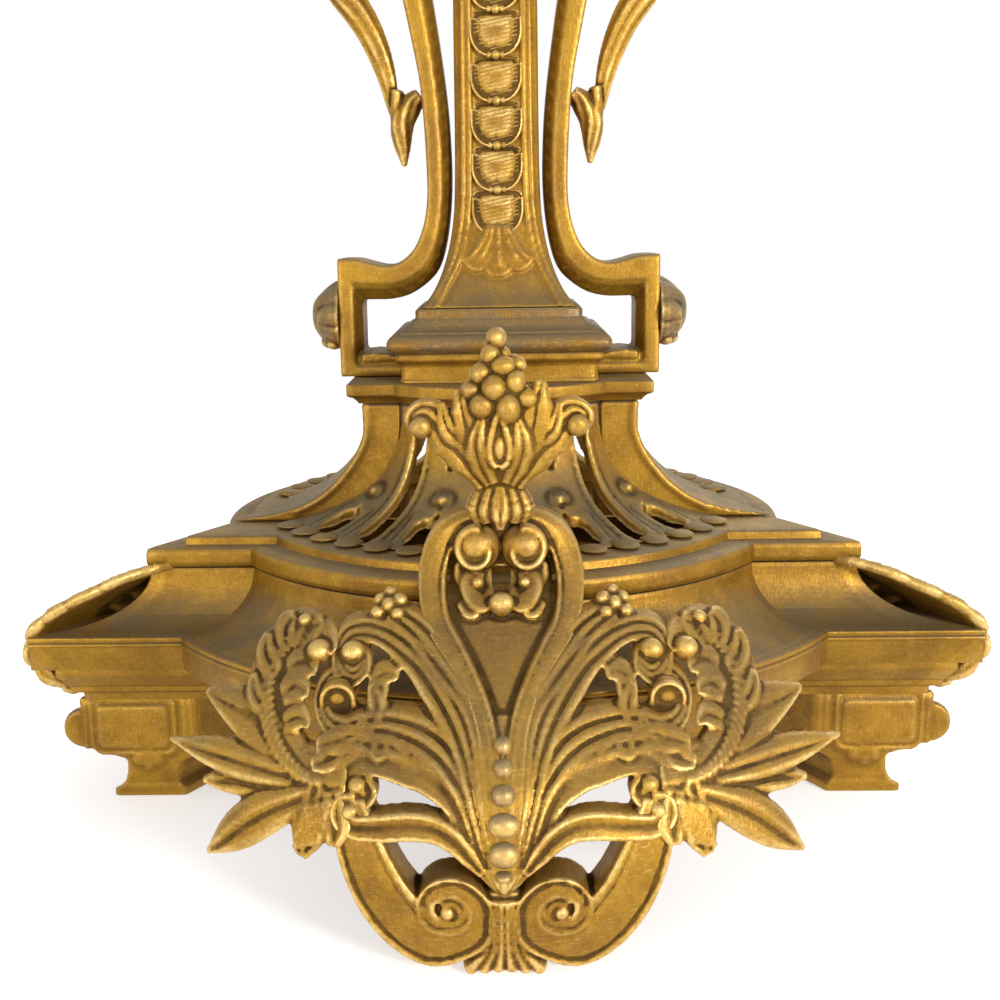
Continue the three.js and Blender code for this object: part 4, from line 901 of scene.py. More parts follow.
def bracket_stations():
    """Matched outer and inner edge points from the foot's inner end to the volute's eye, as X and height."""
    outer = [(65.6, 270.9), (109.4, 270.9), (109.4, 351)]
    inner = [(65.6, 282.4), (93.8, 282.4), (93.8, 323)]
    o, i = [], []
    for (a, b), (c, d) in zip(zip(outer, outer[1:]), zip(inner, inner[1:])):
        for t in np.linspace(0, 1, 9)[:-1]:
            o.append(np.add(a, np.subtract(b, a) * t))
            i.append(np.add(c, np.subtract(d, c) * t))
    o += list(spline(OUTER_S, 60))
    i += list(spline(INNER_S, 60))
    turn = np.linspace(math.radians(176), math.radians(176 - 500), 70)
    for k, angle in enumerate(turn):
        t = k / (len(turn) - 1)
        big = 45.4 - 9.4 * min(1, t * 4)
        r = big - (big - 13) * t ** 0.9
        width = 15 - 7.5 * t
        direction = np.array([math.cos(angle), math.sin(angle)])
        i.append(VOLUTE + direction * min(r, 36.0 if t > 0.04 else 44))
        o.append(VOLUTE + direction * max(min(r, 36.0 if t > 0.04 else 44) - width, 3))
    return np.array(o), np.array(i)


def bracket_shapes():
    """The right bracket: a flat flank, a groove line and a hollow bevel towards the inside of the curve."""
    outer, inner = bracket_stations()
    u = np.array([0.0, 0.03, 0.08, 0.56, 0.60, 0.625, 0.66, 0.69, 0.74, 0.82, 0.90, 0.96, 1.0])
    half = np.array([24.2, 25.2, 25.5, 25.5, 24.8, 22.2, 23.6, 24.2, 22.4, 20.0, 17.8, 16.6, 15.0])
    rings = []
    for o, i in zip(outer, inner):
        pts = [(o + (i - o) * t) for t in u]
        near = np.array([(p[0], -h, p[1]) for p, h in zip(pts, half)])
        far = np.array([(p[0], h, p[1]) for p, h in zip(pts, half)])[::-1]
        rings.append(np.vstack([near, far]))
    shapes = [loft(rings)]
    shapes.append(facing(stacked([(31, -16), (31, 16)]), (VOLUTE[0], 0, VOLUTE[1]), (0, -1, 0)))
    for side in (-1, 1):
        shapes.append(ball((VOLUTE[0], side * 17, VOLUTE[1]), (9, 10, 9), 18, 11))
    # a sloping convex sill along the bottom bar
    sill = [(68.0, 282.0), (71, 284.8), (78, 286.8), (86, 287.2), (94.5, 286.6), (94.5, 281)]
    shapes.append(loft([[(x, y, z) for x, z in sill] for y in np.linspace(-24.8, 24.8, 5)]))
    # a web closes the top of the S where it meets the volute
    web = [(62, 566), (98, 566), (98, 600), (66, 612)]
    shapes.append(loft([[(x, y, z) for x, z in web] for y in (17, -17)]))
    return shapes


def hatch_rods():
    """Fine raised strokes across the bevel of the bracket's S, on both sides."""
    outer, inner = bracket_stations()
    shapes = []
    for k in range(20, 78, 2):
        o, i = outer[k], inner[k]
        o2, i2 = outer[k + 1], inner[k + 1]
        for side in (-1, 1):
            path = []
            for t in np.linspace(0.66, 0.97, 5):
                p = o + (i - o) * t * 1.0 + ((o2 + (i2 - o2) * t) - (o + (i - o) * t)) * (t - 0.66) * 2.4
                h = np.interp(t, [0.64, 0.7, 0.8, 0.9, 0.97], [23.6, 22.4, 20.6, 19.0, 17.8])
                path.append((p[0], side * (h + 0.15), p[1]))
            shapes.append(rod(path, [0.5, 0.75, 0.8, 0.75, 0.4], 6))
    return shapes


def shell_shapes():
    """A worn scallop shell on the outer face of the bracket's foot, hinge downwards."""
    centre = np.array([109.7, 0, 312.0])
    lobes = 7
    rings = []
    phi = np.arange(84) * 2 * math.pi / 84
    def edge(p):
        up = np.sin(p)
        scallop = 1 - 0.09 * (1 - np.abs(np.cos((p - math.pi / 2) * lobes / 1.72)) ** 0.6) * (up > -0.35)
        return scallop
    for rho in np.r_[np.linspace(1.0, 0.12, 12)]:
        height = 19.8 * (1 - rho ** 2.2) ** 0.75
        hinge = np.array([0, -15.0])
        y = 31 * rho * np.cos(phi) * edge(phi)
        z = 24.6 * rho * np.sin(phi) * edge(phi)
        fan = np.arctan2(z - hinge[1] + 14, y)
        rib = 1.0 + 0.10 * np.cos(fan * lobes * 2) * min(1, rho * 1.6)
        h = np.maximum(height * rib, 0.0) + 0.4
        rings.append(np.column_stack([centre[0] + h, y, centre[2] + z]))
    base = rings[0].copy()
    base[:, 0] = centre[0]
    shapes = [loft([base] + rings)]
    shapes.append(ball((centre[0] + 8, 0, centre[2] - 19), (8, 9, 5)))
    for side in (-1, 1):
        shapes.append(ball((centre[0] + 5, side * 13, centre[2] - 19.5), (5, 6, 4)))
    return shapes


def hanging_leaf(path, widths, thickness, steps=44, ribs=0.0):
    """A drooping leaf in the X and Z plane that is thick along Y, with feather grooves along its length."""
    line = spline(path, steps)
    along = np.gradient(line, axis=0)
    along /= np.linalg.norm(along, axis=1)[:, None]
    t = np.linspace(0, 1, steps)
    w = np.interp(t, np.linspace(0, 1, len(widths)), widths) / 2
    a = np.arange(32) * 2 * math.pi / 32
    rings = []
    for c, d, half, tt in zip(line, along, w, t):
        depth = thickness / 2 * (0.3 + 0.7 * math.sin(math.pi * min(1, 0.5 + 0.5 * tt)))
        feather = 1 - ribs * (0.5 + 0.5 * np.cos(a * 8 + tt * 9)) - ribs * 0.8 * (np.abs(np.cos(a)) > 0.97)
        reach = half * np.cos(a) * feather
        rings.append(np.column_stack([c[0] - d[1] * reach, depth * np.sin(a) * feather, c[1] + d[0] * reach]))
    return loft(rings)


def pendant_shapes():
    long = hanging_leaf([(143, 618), (137, 588), (122, 556), (104, 530), (86, 503), (75, 475), (70, 448)],
                        [10, 22, 27, 27, 27, 26, 24, 21, 18, 14, 8], 24, ribs=0.12)
    small = hanging_leaf([(51.0, 458), (58, 452), (64.5, 438), (63.5, 412)], [12, 19, 18, 13, 4], 24, 30,
                         ribs=0.12)
    link = hanging_leaf([(67, 462), (67.5, 446), (66, 432)], [9, 10, 9], 18, 12)
    return [long, small, link]


# ------------------------------------------------------------------ block feet and end leaves

def foot_shapes():
    """The front right block foot: a plinth, a raised panel and a bull-nose roll between grooved bands."""
    top = NECK_BOTTOM - 0.3
    roll = np.array([280.0, top - 22])
    outline = [(213, 0.2), (260.5, 0), (262, 1.5), (262, 5), (260.8, 6.2), (256.6, 8), (254, 11), (252.4, 16),
               (252, 26)]
    for k in range(15):
        a = -math.pi / 2 + math.pi * k / 14
        outline.append(tuple(roll + 13 * np.array([math.cos(a), math.sin(a)])))
    outline += [(281.6, top - 8), (281, top - 6.6), (281, top - 1), (279.6, top), (202, top), (202, 30),
                (210, 27),
                (216, 23), (218, 12), (213, 6)]
    outline = np.array(outline)
    y0, y1 = -108.0, -48.0
    rings = []
    for y, inset in ((y0, 1.2), (y0 + 1.2, 0), (y1 - 1.2, 0), (y1, 1.2)):
        middle = np.array([245.0, 40.0])
        pull = outline + (middle - outline) / np.linalg.norm(outline - middle, axis=1)[:, None] * inset
        rings.append(np.column_stack([pull[:, 0], np.full(len(pull), y), pull[:, 1]]))
    shapes = [loft(np.array(rings)[::-1], "flat")]
    front = y0 - 0.2
    frame_line = [(217, top - 3), (217, 36), (221, 31.5), (268, 31.5), (272, 36), (272, top - 3)]
    path = [(x, front, z) for x, z in filleted(frame_line, 4, 4, closed=False)]
    shapes.append(rod(path, 1.5, 8))
    panel = filleted([(220.5, top - 5.5), (220.5, 38), (224, 35), (265, 35), (268.5, 38), (268.5, top - 5.5)],
                     3, 3)
    rings = [np.column_stack([panel[:, 0], np.full(len(panel), y), panel[:, 1]])
             for y in (front + 3, front - 1.2)]
    rings.append(np.column_stack([245 + (panel[:, 0] - 245) * 0.93, np.full(len(panel), front - 2.0),
                                  50 + (panel[:, 1] - 50) * 0.93]))
    shapes.append(loft(rings))
    for x in (206.0, 210.4, 276.4):
        shapes.append(rod([(x, front + 0.4, z) for z in np.linspace(34, top - 4, 8)], 1.5, 8))
    for y in (-105.0, -102.0, -54.0, -51.0):
        ring = [(roll[0] + 13.3 * math.cos(a), y, roll[1] + 13.3 * math.sin(a))
                for a in np.linspace(-1.5, 1.5, 22)]
        shapes.append(rod(ring, 1.1, 7))
    for x, z, wide, tall in ((236, 26.5, 4.6, 6.6), (230, 27.5, 4.4, 4.6), (242, 27.5, 4.4, 4.6),
                             (236, 31, 8.5, 3.2)):
        shapes.append(ball((x, front - 0.2, z), (wide, 1.8, tall)))
    shapes.append(rod([(x, front + 0.2, 7.4) for x in np.linspace(215, 257, 8)], 0.8, 6))
    return shapes


LEAF_SPINE = [(232, 161.5), (246, 158), (264, 149), (284, 138), (298, 126.5), (305.5, 112), (305, 96),
              (300.5, 84), (303, 74)]


def sheared(shape, pivot):
    """A shape on the right wing's front, slanted to follow the wing's end."""
    points, faces = shape
    points = points.copy()
    points[:, 0] -= END_SLANT * (points[:, 1] - pivot)
    return points, faces


def turned_foot(shape, degrees):
    """A front foot's shape moved under the round back of the plinth and turned to face outwards."""
    points, faces = shape
    x, y = points[:, 0] - (FASCIA[1] - FASCIA[0]), points[:, 1] + 78
    c, s = math.cos(math.radians(degrees)), math.sin(math.radians(degrees))
    return np.column_stack([c * x - s * y, s * x + c * y, points[:, 2]]), faces


def end_leaf_shapes():
    """The right wing's leaf, which lies over the plinth's front corner in lobes and hangs below its edge."""
    spine = spline(LEAF_SPINE, 70)
    along = np.gradient(spine, axis=0)
    along /= np.linalg.norm(along, axis=1)[:, None]
    out = np.column_stack([-along[:, 1], along[:, 0]])
    t = np.linspace(0, 1, 70)
    front = np.interp(t, [0, 0.12, 0.3, 0.55, 0.75, 0.88, 1], [-116, -127, -137, -138, -132, -124, -110])
    back = np.interp(t, [0, 0.3, 0.6, 0.8, 1], [-84, -74, -72, -78, -92])
    v = np.linspace(0, 1, 60)
    skirt = np.clip((v - 0.72) / 0.2, 0, 1)
    shapes = []
    rings, edge = [], []
    for k in range(70):
        tooth = 5.0 * (1 - abs(math.cos(t[k] * math.pi * 7)) ** 0.8)
        y = (front[k] + tooth) + (back[k] - tooth - front[k] - tooth) * v
        flute = 2.4 * np.abs(np.cos(v * math.pi * 2.5)) ** 0.8 * min(1.0, 0.4 + t[k])
        raised = np.clip(0.4 + flute + 1.8 * np.exp(-(v / 0.06) ** 2), 0,
                         3.6) * np.where((v < 0.01) | (v > 0.99), 0.2, 1)
        deep = 4.4 + 20 * skirt * np.interp(t[k], [0, 0.06, 0.5, 0.62, 1], [0, 1, 1, 0, 0])
        upper = spine[k] + np.outer(raised, out[k])
        lower = spine[k] - out[k] * deep[:, None]
        rings.append(np.vstack([np.column_stack([upper[:, 0], y, upper[:, 1]]),
                                np.column_stack([lower[:, 0], y, lower[:, 1]])[::-1]]))
        edge.append((spine[k, 0], y[0] + 1.0, spine[k, 1] - 1.2))
    shapes.append(loft(rings))
    # the thick lumpy front edge
    shapes.append(rod(edge[1:-2], 2.6 + 1.0 * np.abs(np.sin(np.linspace(0, 7 * math.pi, 67))), 9))
    return [sheared(shape, -FASCIA[2]) for shape in shapes]


# ------------------------------------------------------------------ the ornament in front and behind

def offset_line(path, amounts, steps):
    """Points beside a path at given signed distances to its left."""
    line = spline(path, steps)
    along = np.gradient(line, axis=0)
    along /= np.linalg.norm(along, axis=1)[:, None]
    away = np.interp(np.linspace(0, 1, steps), np.linspace(0, 1, len(amounts)), amounts)
    return line + np.column_stack([-along[:, 1], along[:, 0]]) * away[:, None]


def leaf(path, widths, front=5.0, lift=0.0, lobes=2, teeth=0, thickness=4.5, steps=36, plump=2.4):
    """A leaf on the sheet along a curved midline, with full lobes beside a fine midrib."""
    line = spline(path, steps)
    along = np.gradient(line, axis=0)
    along /= np.linalg.norm(along, axis=1)[:, None]
    side = np.column_stack([-along[:, 1], along[:, 0]])
    t = np.linspace(0, 1, steps)
    half = np.interp(t, np.linspace(0, 1, len(widths)), widths) / 2
    half = np.convolve(np.pad(half, 2, mode="edge"), np.full(5, 0.2), mode="valid")
    if teeth:
        half = half * (1 - 0.16 * np.abs(np.sin(t * teeth * math.pi)) ** 0.6)
    u = np.linspace(-1, 1, 29)
    relief = plump * np.abs(np.sin((u + 1) * lobes * math.pi / 2)) ** 0.7
    if lobes % 2 == 0:
        relief = relief + 1.1 * np.exp(-(u / 0.09) ** 2)
    rings = []
    for k in range(steps):
        fade = min(1.0, half[k] / 6.0)
        base = front - lift * t[k] ** 2
        away = np.r_[base - relief * fade, np.full(len(u), base + thickness)]
        xz = line[k] + side[k] * (np.r_[u, u[::-1]] * max(half[k], 0.9))[:, None]
        rings.append(sheet(xz[:, 0], xz[:, 1], away))
    return loft(rings)


HEART = [(3.5, 210.5), (12, 212), (22, 209.5), (32, 200.5), (38, 184.5), (38, 170), (34.4, 158.8),
         (26, 148.8),
         (17.4, 138), (9.8, 126), (6.2, 113), (4.8, 98), (3.0, 80), (1.6, 62), (0.6, 51)]
STRANDS = {
    "berried": [(-62, 164), (-53, 161), (-43, 155.5), (-30, 144.5), (-18, 133.5), (-11.5, 121), (-8.8, 105),
                (-7, 90),
                (-4.2, 68), (-1.5, 53)],
    "upper": [(-76, 149.5), (-73, 143), (-78.5, 138), (-86, 140.5), (-88, 147.5), (-83.5, 154), (-74, 156),
              (-64, 154.5),
              (-55, 151), (-42, 144.4), (-30, 133.6), (-21.5, 122), (-16.4, 110), (-13, 98), (-10, 84),
              (-6.5, 68), (-2.4, 54)],
    "lower": [(-80, 135), (-86.5, 138), (-93.5, 134.5), (-95.5, 127), (-91, 120.5), (-82, 118.4),
              (-71, 120.4), (-58.8, 121.4),
              (-42, 118.4), (-29.5, 112), (-21.5, 103), (-16.5, 93), (-12.8, 80), (-8, 66), (-3, 55)],
    "third": [(-70.5, 99), (-66.5, 95.5), (-69.5, 91.5), (-75.5, 91.5), (-79.5, 96), (-78.5, 102.5),
              (-72, 106.6), (-63, 107),
              (-51.6, 105.4), (-39, 103), (-28.5, 97), (-21.5, 89), (-16, 80), (-10.5, 69), (-4.5, 58)],
    "fourth": [(-74, 90.5), (-80.5, 89), (-81.5, 82.5), (-75, 79.2), (-62, 80.2), (-46, 82.3), (-34.3, 81.6),
               (-25, 77),
               (-17.5, 69.5), (-10, 61)],
}
# The worn beads down the stem: height, half width, half height.
CABOCHONS = [(116.2, 4.4, 4.9), (107.8, 4.9, 5.0), (97.4, 6.3, 5.8), (84.8, 7.9, 6.4), (71.2, 7.6, 6.9),
             (61.2, 4.4, 3.0)]


def mirror_path(path, side):
    return [(side * x, z) for x, z in path]


def heart_shapes():
    """The front heart mount: two broad bands that roll inwards to balls, a sunk field and a fluted stem."""
    left = [band(mirror_path(HEART, -1), [3, 9, 14, 16, 16, 15, 13.5, 12, 10.5, 9, 8.5, 8, 7, 4.5, 1.8], 15,
                 "arris", 0.5, 90),
            ball(sheet(-13.4, 195.2, 4.6), (13.2, 12.0, 13.4), 36, 23),
            spiral((-13.4, 195.2), 12.2, 1.25, math.radians(80), 5.2, 9, -6.2, 3.4, 1)]
    # a plump leafy moustache under the balls
    for path, w, front in (([(-4, 172), (-10, 168.5), (-16, 171), (-19, 177), (-15, 181.5), (-11, 178.5)],
                            [7, 10.5, 11, 10, 8, 5], 1.8),
                           ([(-17, 173), (-22.5, 178.5), (-25, 186)], [7, 9, 7.5, 3], 5.5),
                           ([(-10, 166), (-18, 164), (-24, 167.5)], [6, 8, 7, 3], 5.0)):
        left.append(band(path, w, 11, "round", front, 34))
    left.append(ball(sheet(-13.2, 177.2, 4.6), (3.6, 3.6, 3.6), 18, 13))
    # the field, whole but for a small lens-shaped gap under the balls
    left.append(band([(-17, 190), (-17, 172)], [22, 24], 5, "flat", 10.5, 12))
    shapes = left + all_placed(left, MIRROR_X)
    shapes.append(band([(0, 171), (0, 158), (0, 146), (0, 136), (0, 122)], [60, 52, 36, 22, 6], 6, "flat",
                       9.6, 34))
    shapes.append(band([(0, 192), (0, 183.5)], [20, 18], 5, "flat", 10, 8))
    shapes += [ball(sheet(0, 204.5, 9.5), (9, 6, 8), 20, 13),
               ball(sheet(0, 168.0, 2.6), (7.2, 5.8, 7.0), 22, 15)]
    stem = [(126, 2.5), (114, 8), (100, 13), (90, 15.5), (80, 18), (70, 18), (62, 15), (55, 9), (47.2, 1)]
    rings = []
    for level, half in spline(stem, 44)[::-1]:
        u = np.linspace(-1, 1, 33)
        flutes = 1.5 * np.abs(np.sin(u * math.pi * 3.5)) ** 0.8 * min(1, half / 9)
        front = 4.6 - 3.4 * np.sqrt(np.clip(1 - u ** 2, 0, 1)) * min(1, half / 8) + flutes
        rings.append(np.vstack([sheet(u * half, np.full(33, level), front),
                                sheet(u[::-1] * half, np.full(33, level), np.full(33, 16.5))]))
    shapes.append(loft(rings))
    for side in (-1, 1):
        for name, start, widths, front in (("berried", 4, [3, 8, 8, 6, 2.4], 1.4),
                                           ("upper", 11, [3, 9, 8, 5.5, 2.4], 2.2),
                                           ("lower", 10, [3, 9, 8, 5, 2], 3.2),
                                           ("third", 10, [3, 8, 7, 4.5, 2], 4.4)):
            shapes.append(band(mirror_path(STRANDS[name][start:], side), widths, 10, "round", front, 34))
    reach = STEP[0]
    shapes.append(box_shape((-12, -reach - 22, 160), (12, -reach - 1, 170)))
    return shapes


def bead_shapes():
    """The worn beads set down the front stem."""
    return [ball(sheet(0, z, 1.6), (rx, 5.4, rz), 28, 17) for z, rx, rz in CABOCHONS]


def side_scroll_shapes():
    """The front left half: five strands that spring from the stem and roll up in volutes at the side."""
    shapes = []
    widths = {"berried": ([9, 14, 16.5, 15, 12.5, 11, 9.5, 8, 6, 3], 1.2, "fluted"),
              "upper": ([6, 8, 9, 10, 11, 12, 14, 18, 21, 21, 18, 15, 13, 11, 9, 6, 3], 1.6, "fluted"),
              "lower": ([6, 8, 9, 10, 11, 12, 14.5, 17, 18, 16, 13.5, 11, 9, 6, 3], 2.2, "fluted"),
              "third": ([8, 9, 10, 10.5, 11, 12, 13, 14.5, 15, 14, 12, 10, 8, 6, 3], 2.6, "hollow"),
              "fourth": ([9, 11, 12.5, 13.5, 14.5, 14.5, 13.5, 12, 9, 4], 0.4, "hollow")}
    for name, (w, front, section) in widths.items():
        shapes.append(band(STRANDS[name], w, 13, section, front, 110))
    for x, z, r, front in ((-80, 146.6, 6.8, 3.4), (-73.0, 96.8, 4.8, 4.6), (-76.4, 85.0, 4.8, 4.4)):
        shapes.append(ball(sheet(x, z, front), (r, r * 0.9, r), 26, 17))
    disc = [(9.6, -9), (9.6, -0.6), (9.2, 0.7), (8.2, 0.9), (7.3, 0.2), (6.6, -0.6), (3, 0.1), (0.4, 0.4)]
    shapes.append(facing(stacked(disc, 40), sheet(-86.4, 128.6, 2.4), (0, -1, 0)))
    # the back bone that joins the volutes
    shapes.append(band([(-80, 148), (-85, 128), (-80, 112), (-75, 99), (-79, 86)], [14, 17, 17, 14, 12], 10,
                       "ridged", 6.5, 44))
    # leafy curls between the volutes
    for path, w, lift in (([(-64, 112), (-76, 115.5), (-96, 111)], [7, 13, 13, 5], 2.0),
                          ([(-68, 122), (-65, 128), (-69, 136)], [6, 11, 10, 4], 2.0),
                          ([(-66, 112.5), (-58, 114), (-48, 111)], [6, 10, 9, 3], 1.5),
                          ([(-80, 112), (-90, 106), (-98, 103)], [8, 13, 12, 5], 2.0),
                          ([(-70, 136), (-62, 140), (-54, 140)], [5, 9, 9, 4], 1.0)):
        shapes.append(leaf(path, w, 4.6, lift, 2, 0, 5, 22))
    for x, z, r, start, hand in ((-62.5, 113.5, 5.0, 200, 1), (-71.5, 119.5, 4.6, 20, -1),
                                 (-64, 134, 4.4, 120, 1)):
        shapes.append(spiral((x, z), r, 1.1, math.radians(start), 3.6, 8, 2.6, 2.4, hand))
    # berries at the head of the berried strand
    for x, z, r in ((-62, 166.0, 4.8), (-56.2, 168.4, 4.4), (-66.8, 168.2, 4.0), (-61.4, 171.6, 3.8),
                    (-68.6, 162.6, 3.9),
                    (-57.0, 162.6, 4.0)):
        shapes.append(ball(sheet(x, z, 4.0), (r, r, r), 18, 13))
    return shapes


def scroll_foot_shapes():
    """The front scroll foot: two arms that roll inwards in volutes on either side of a fluted fan."""
    t = np.linspace(0, 1, 26)
    turn, reach = np.radians(-78 + 575 * t), 17.0 - 11.8 * t ** 0.9
    eye = np.array([-27.6, 40.0])
    arm = [(-77.5, 91), (-76.4, 85), (-73.5, 75), (-68, 60), (-60, 43.5), (-49, 29), (-37, 20.5)]
    arm = np.vstack([arm, np.column_stack([eye[0] + reach * np.cos(turn), eye[1] + reach * np.sin(turn)])])
    widths = np.r_[18, 21, 25, 29, 32, 33.5, 33,
                   np.interp(t, [0, 0.08, 0.18, 0.32, 0.6, 1], [28, 20, 12.5, 10.5, 8.5, 5])]
    at = np.r_[0, np.cumsum(np.linalg.norm(np.diff(arm, axis=0), axis=1))]
    widths = np.interp(np.linspace(0, at[-1], 60), at, widths)
    left = [band(arm, widths, 24, "lip", 1.2, 190),
            ball(sheet(eye[0] - 0.4, eye[1] - 0.6, 4.2), (3.8, 4.6, 3.8), 22, 15)]
    left.append(facing(stacked([(16.0, -15), (16.0, -2), (14, 0)], 40), sheet(*eye, 6.8), (0, -1, 0)))
    shapes = left + all_placed(left, MIRROR_X)
    for k in range(6):
        lean = (k - 2.5) / 2.5
        path = [(lean * 6.4, 47), (lean * 6.8, 34), (lean * 8.6, 18),
                (lean * 18.5, 1.8 + 2.6 * (1 - abs(lean)))]
        shapes.append(band(path, [3.4, 4.0, 5.4, 9.0], 20, "round", 0.2 + 1.6 * abs(lean), 24))
    shapes.append(band([(0, 50), (0, 24), (0, 2)], [15, 20, 40], 16, "flat", 5, 14))
    shapes.append(box_shape((-13, cad("spine_bar")[0][1] - 13, 22), (13, cad("spine_bar")[0][1] - 1, 92.6)))
    return shapes


def leaf_spray_shapes():
    """The front left spray of long leaves from a fibrous hub, with a curled acanthus above it."""
    shapes = []
    shapes.append(leaf([(-98, 99), (-128, 115), (-163, 123)], [9, 14, 19, 22.5, 24, 23, 19.5, 14.5, 8.5, 2],
                       4.6, 2.0, steps=60))
    shapes.append(leaf([(-99, 96), (-140, 98.5), (-182, 100)], [7, 10, 13, 15, 16, 15.5, 13.5, 10, 5, 1.5],
                       4.4, 3.0, steps=60))
    shapes.append(leaf([(-100, 94), (-130, 90), (-160, 84.5)], [7, 10, 12.5, 14, 14.5, 14, 12, 8, 2], 6.4,
                       1.0, steps=50))
    shapes.append(leaf([(-96, 92), (-126, 75), (-157, 49)], [9, 13, 16.5, 19.5, 21, 21, 19.5, 15.5, 9, 2],
                       3.4, 2.5, steps=60))
    shapes.append(leaf([(-92, 95), (-97, 78), (-102.5, 61)], [16, 22, 25, 20, 6], 3.8, 2.4, 3, 2, 5, 34))
    shapes.append(leaf([(-86, 94), (-84, 82), (-85, 69)], [12, 17, 18, 7], 3.4, 2.0, 2, 0, 5, 30))
    for k in range(9):
        t = k / 8
        x, z = -93.5 - 6 * t, 88 - 20 * t
        shapes.append(rod([sheet(x + d, z + 0.35 * d, 0.6 - 1.2 * t) for d in np.linspace(-8, 8, 7)], 0.55,
                          5))
    # fibres of the hub
    for k in range(9):
        z = 87 + k * 2.5
        shapes.append(band([(-79, 91 + k * 1.6), (-92, z + 1.5), (-109, z + 2)], [3.0, 3.8, 2.6], 9, "round",
                           1.8 + 0.4 * abs(k - 4), 18))
    shapes.append(band([(-78, 97), (-92, 98), (-110, 100)], [16, 22, 15], 8, "ridged", 4.4, 18))
    # the acanthus: a thick back with a finely hatched spine, that rises and rolls over in a clump of lobes
    curl = [(-92, 98), (-104, 101), (-117, 110), (-125, 124), (-124, 139), (-114, 149), (-102, 151),
            (-95, 145)]
    shapes.append(band(curl, [13, 19, 24, 27, 25, 22, 18, 13], 12, "flat", 2.6, 64))
    spine, inner = offset_line(curl, [3, 4, 4.5, 5, 4.5, 4, 3], 60), offset_line(curl,
                                                                                 [-1, -2, -2.5, -3, -2.5, -2,
                                                                                  -1], 60)
    shapes.append(band(offset_line(curl, [1, 1.2, 1.2, 1.2, 1], 40), [5, 7, 8, 8, 7, 6, 4], 4, "round", 1.0,
                       50))
    for k in range(3, 57, 2):
        shapes.append(rod([sheet(*(spine[k] + (inner[min(k + 2, 59)] - spine[k]) * t), 1.2)
                           for t in np.linspace(0, 1, 5)], 0.5, 5))
    for path, w in (([(-117, 128), (-110, 132), (-102, 131)], 13),
                    ([(-116, 138), (-108, 141), (-99, 139)], 13),
                    ([(-112, 147), (-106, 154), (-99, 158)], 15),
                    ([(-123, 136), (-130, 143), (-131, 150)], 14),
                    ([(-118, 146), (-120, 153), (-116, 159)], 14),
                    ([(-126, 122), (-133, 127), (-136, 134)], 11),
                    ([(-104, 149), (-96, 151), (-90, 147)], 14),
                    ([(-114, 118), (-106, 121), (-100, 119)], 11)):
        shapes.append(leaf(path, [w * 0.7, w, w * 1.05, w * 0.75, w * 0.3], 2.8, 2.6, 2, 0, 6, 22, 2.6))
    for x, z, r in ((-99, 146, 7.0), (-109, 157, 4.4)):
        shapes.append(ball(sheet(x, z, 2.0), (r, r, r), 20, 13))
    return shapes


def standing_leaf(path, widths, out, thickness=3.4, steps=30, plump=2.0, lobes=2):
    """A fleshy upright leaf along a path in space, its full side towards the given direction."""
    line = spline(path, steps)
    along = np.gradient(line, axis=0)
    along /= np.linalg.norm(along, axis=1)[:, None]
    face = np.asarray(out, float)
    t = np.linspace(0, 1, steps)
    half = np.interp(t, np.linspace(0, 1, len(widths)), widths) / 2
    half = half * (1 - 0.10 * np.abs(np.sin(t * 4 * math.pi)))
    u = np.linspace(-1, 1, 21)
    relief = plump * np.abs(np.sin((u + 1) * lobes * math.pi / 2)) ** 0.7 - 1.6 * u ** 2
    rings = []
    for k in range(steps):
        side = np.cross(along[k], face)
        side /= np.linalg.norm(side)
        ahead = np.cross(side, along[k])
        fade = min(1.0, half[k] / 5)
        near = [line[k] + side * half[k] * a + ahead * r * fade for a, r in zip(u, relief)]
        far = [line[k] + side * half[k] * a - ahead * thickness * (0.5 + 0.5 * fade) for a in u[::-1]]
        rings.append(near + far)
    return loft(rings)


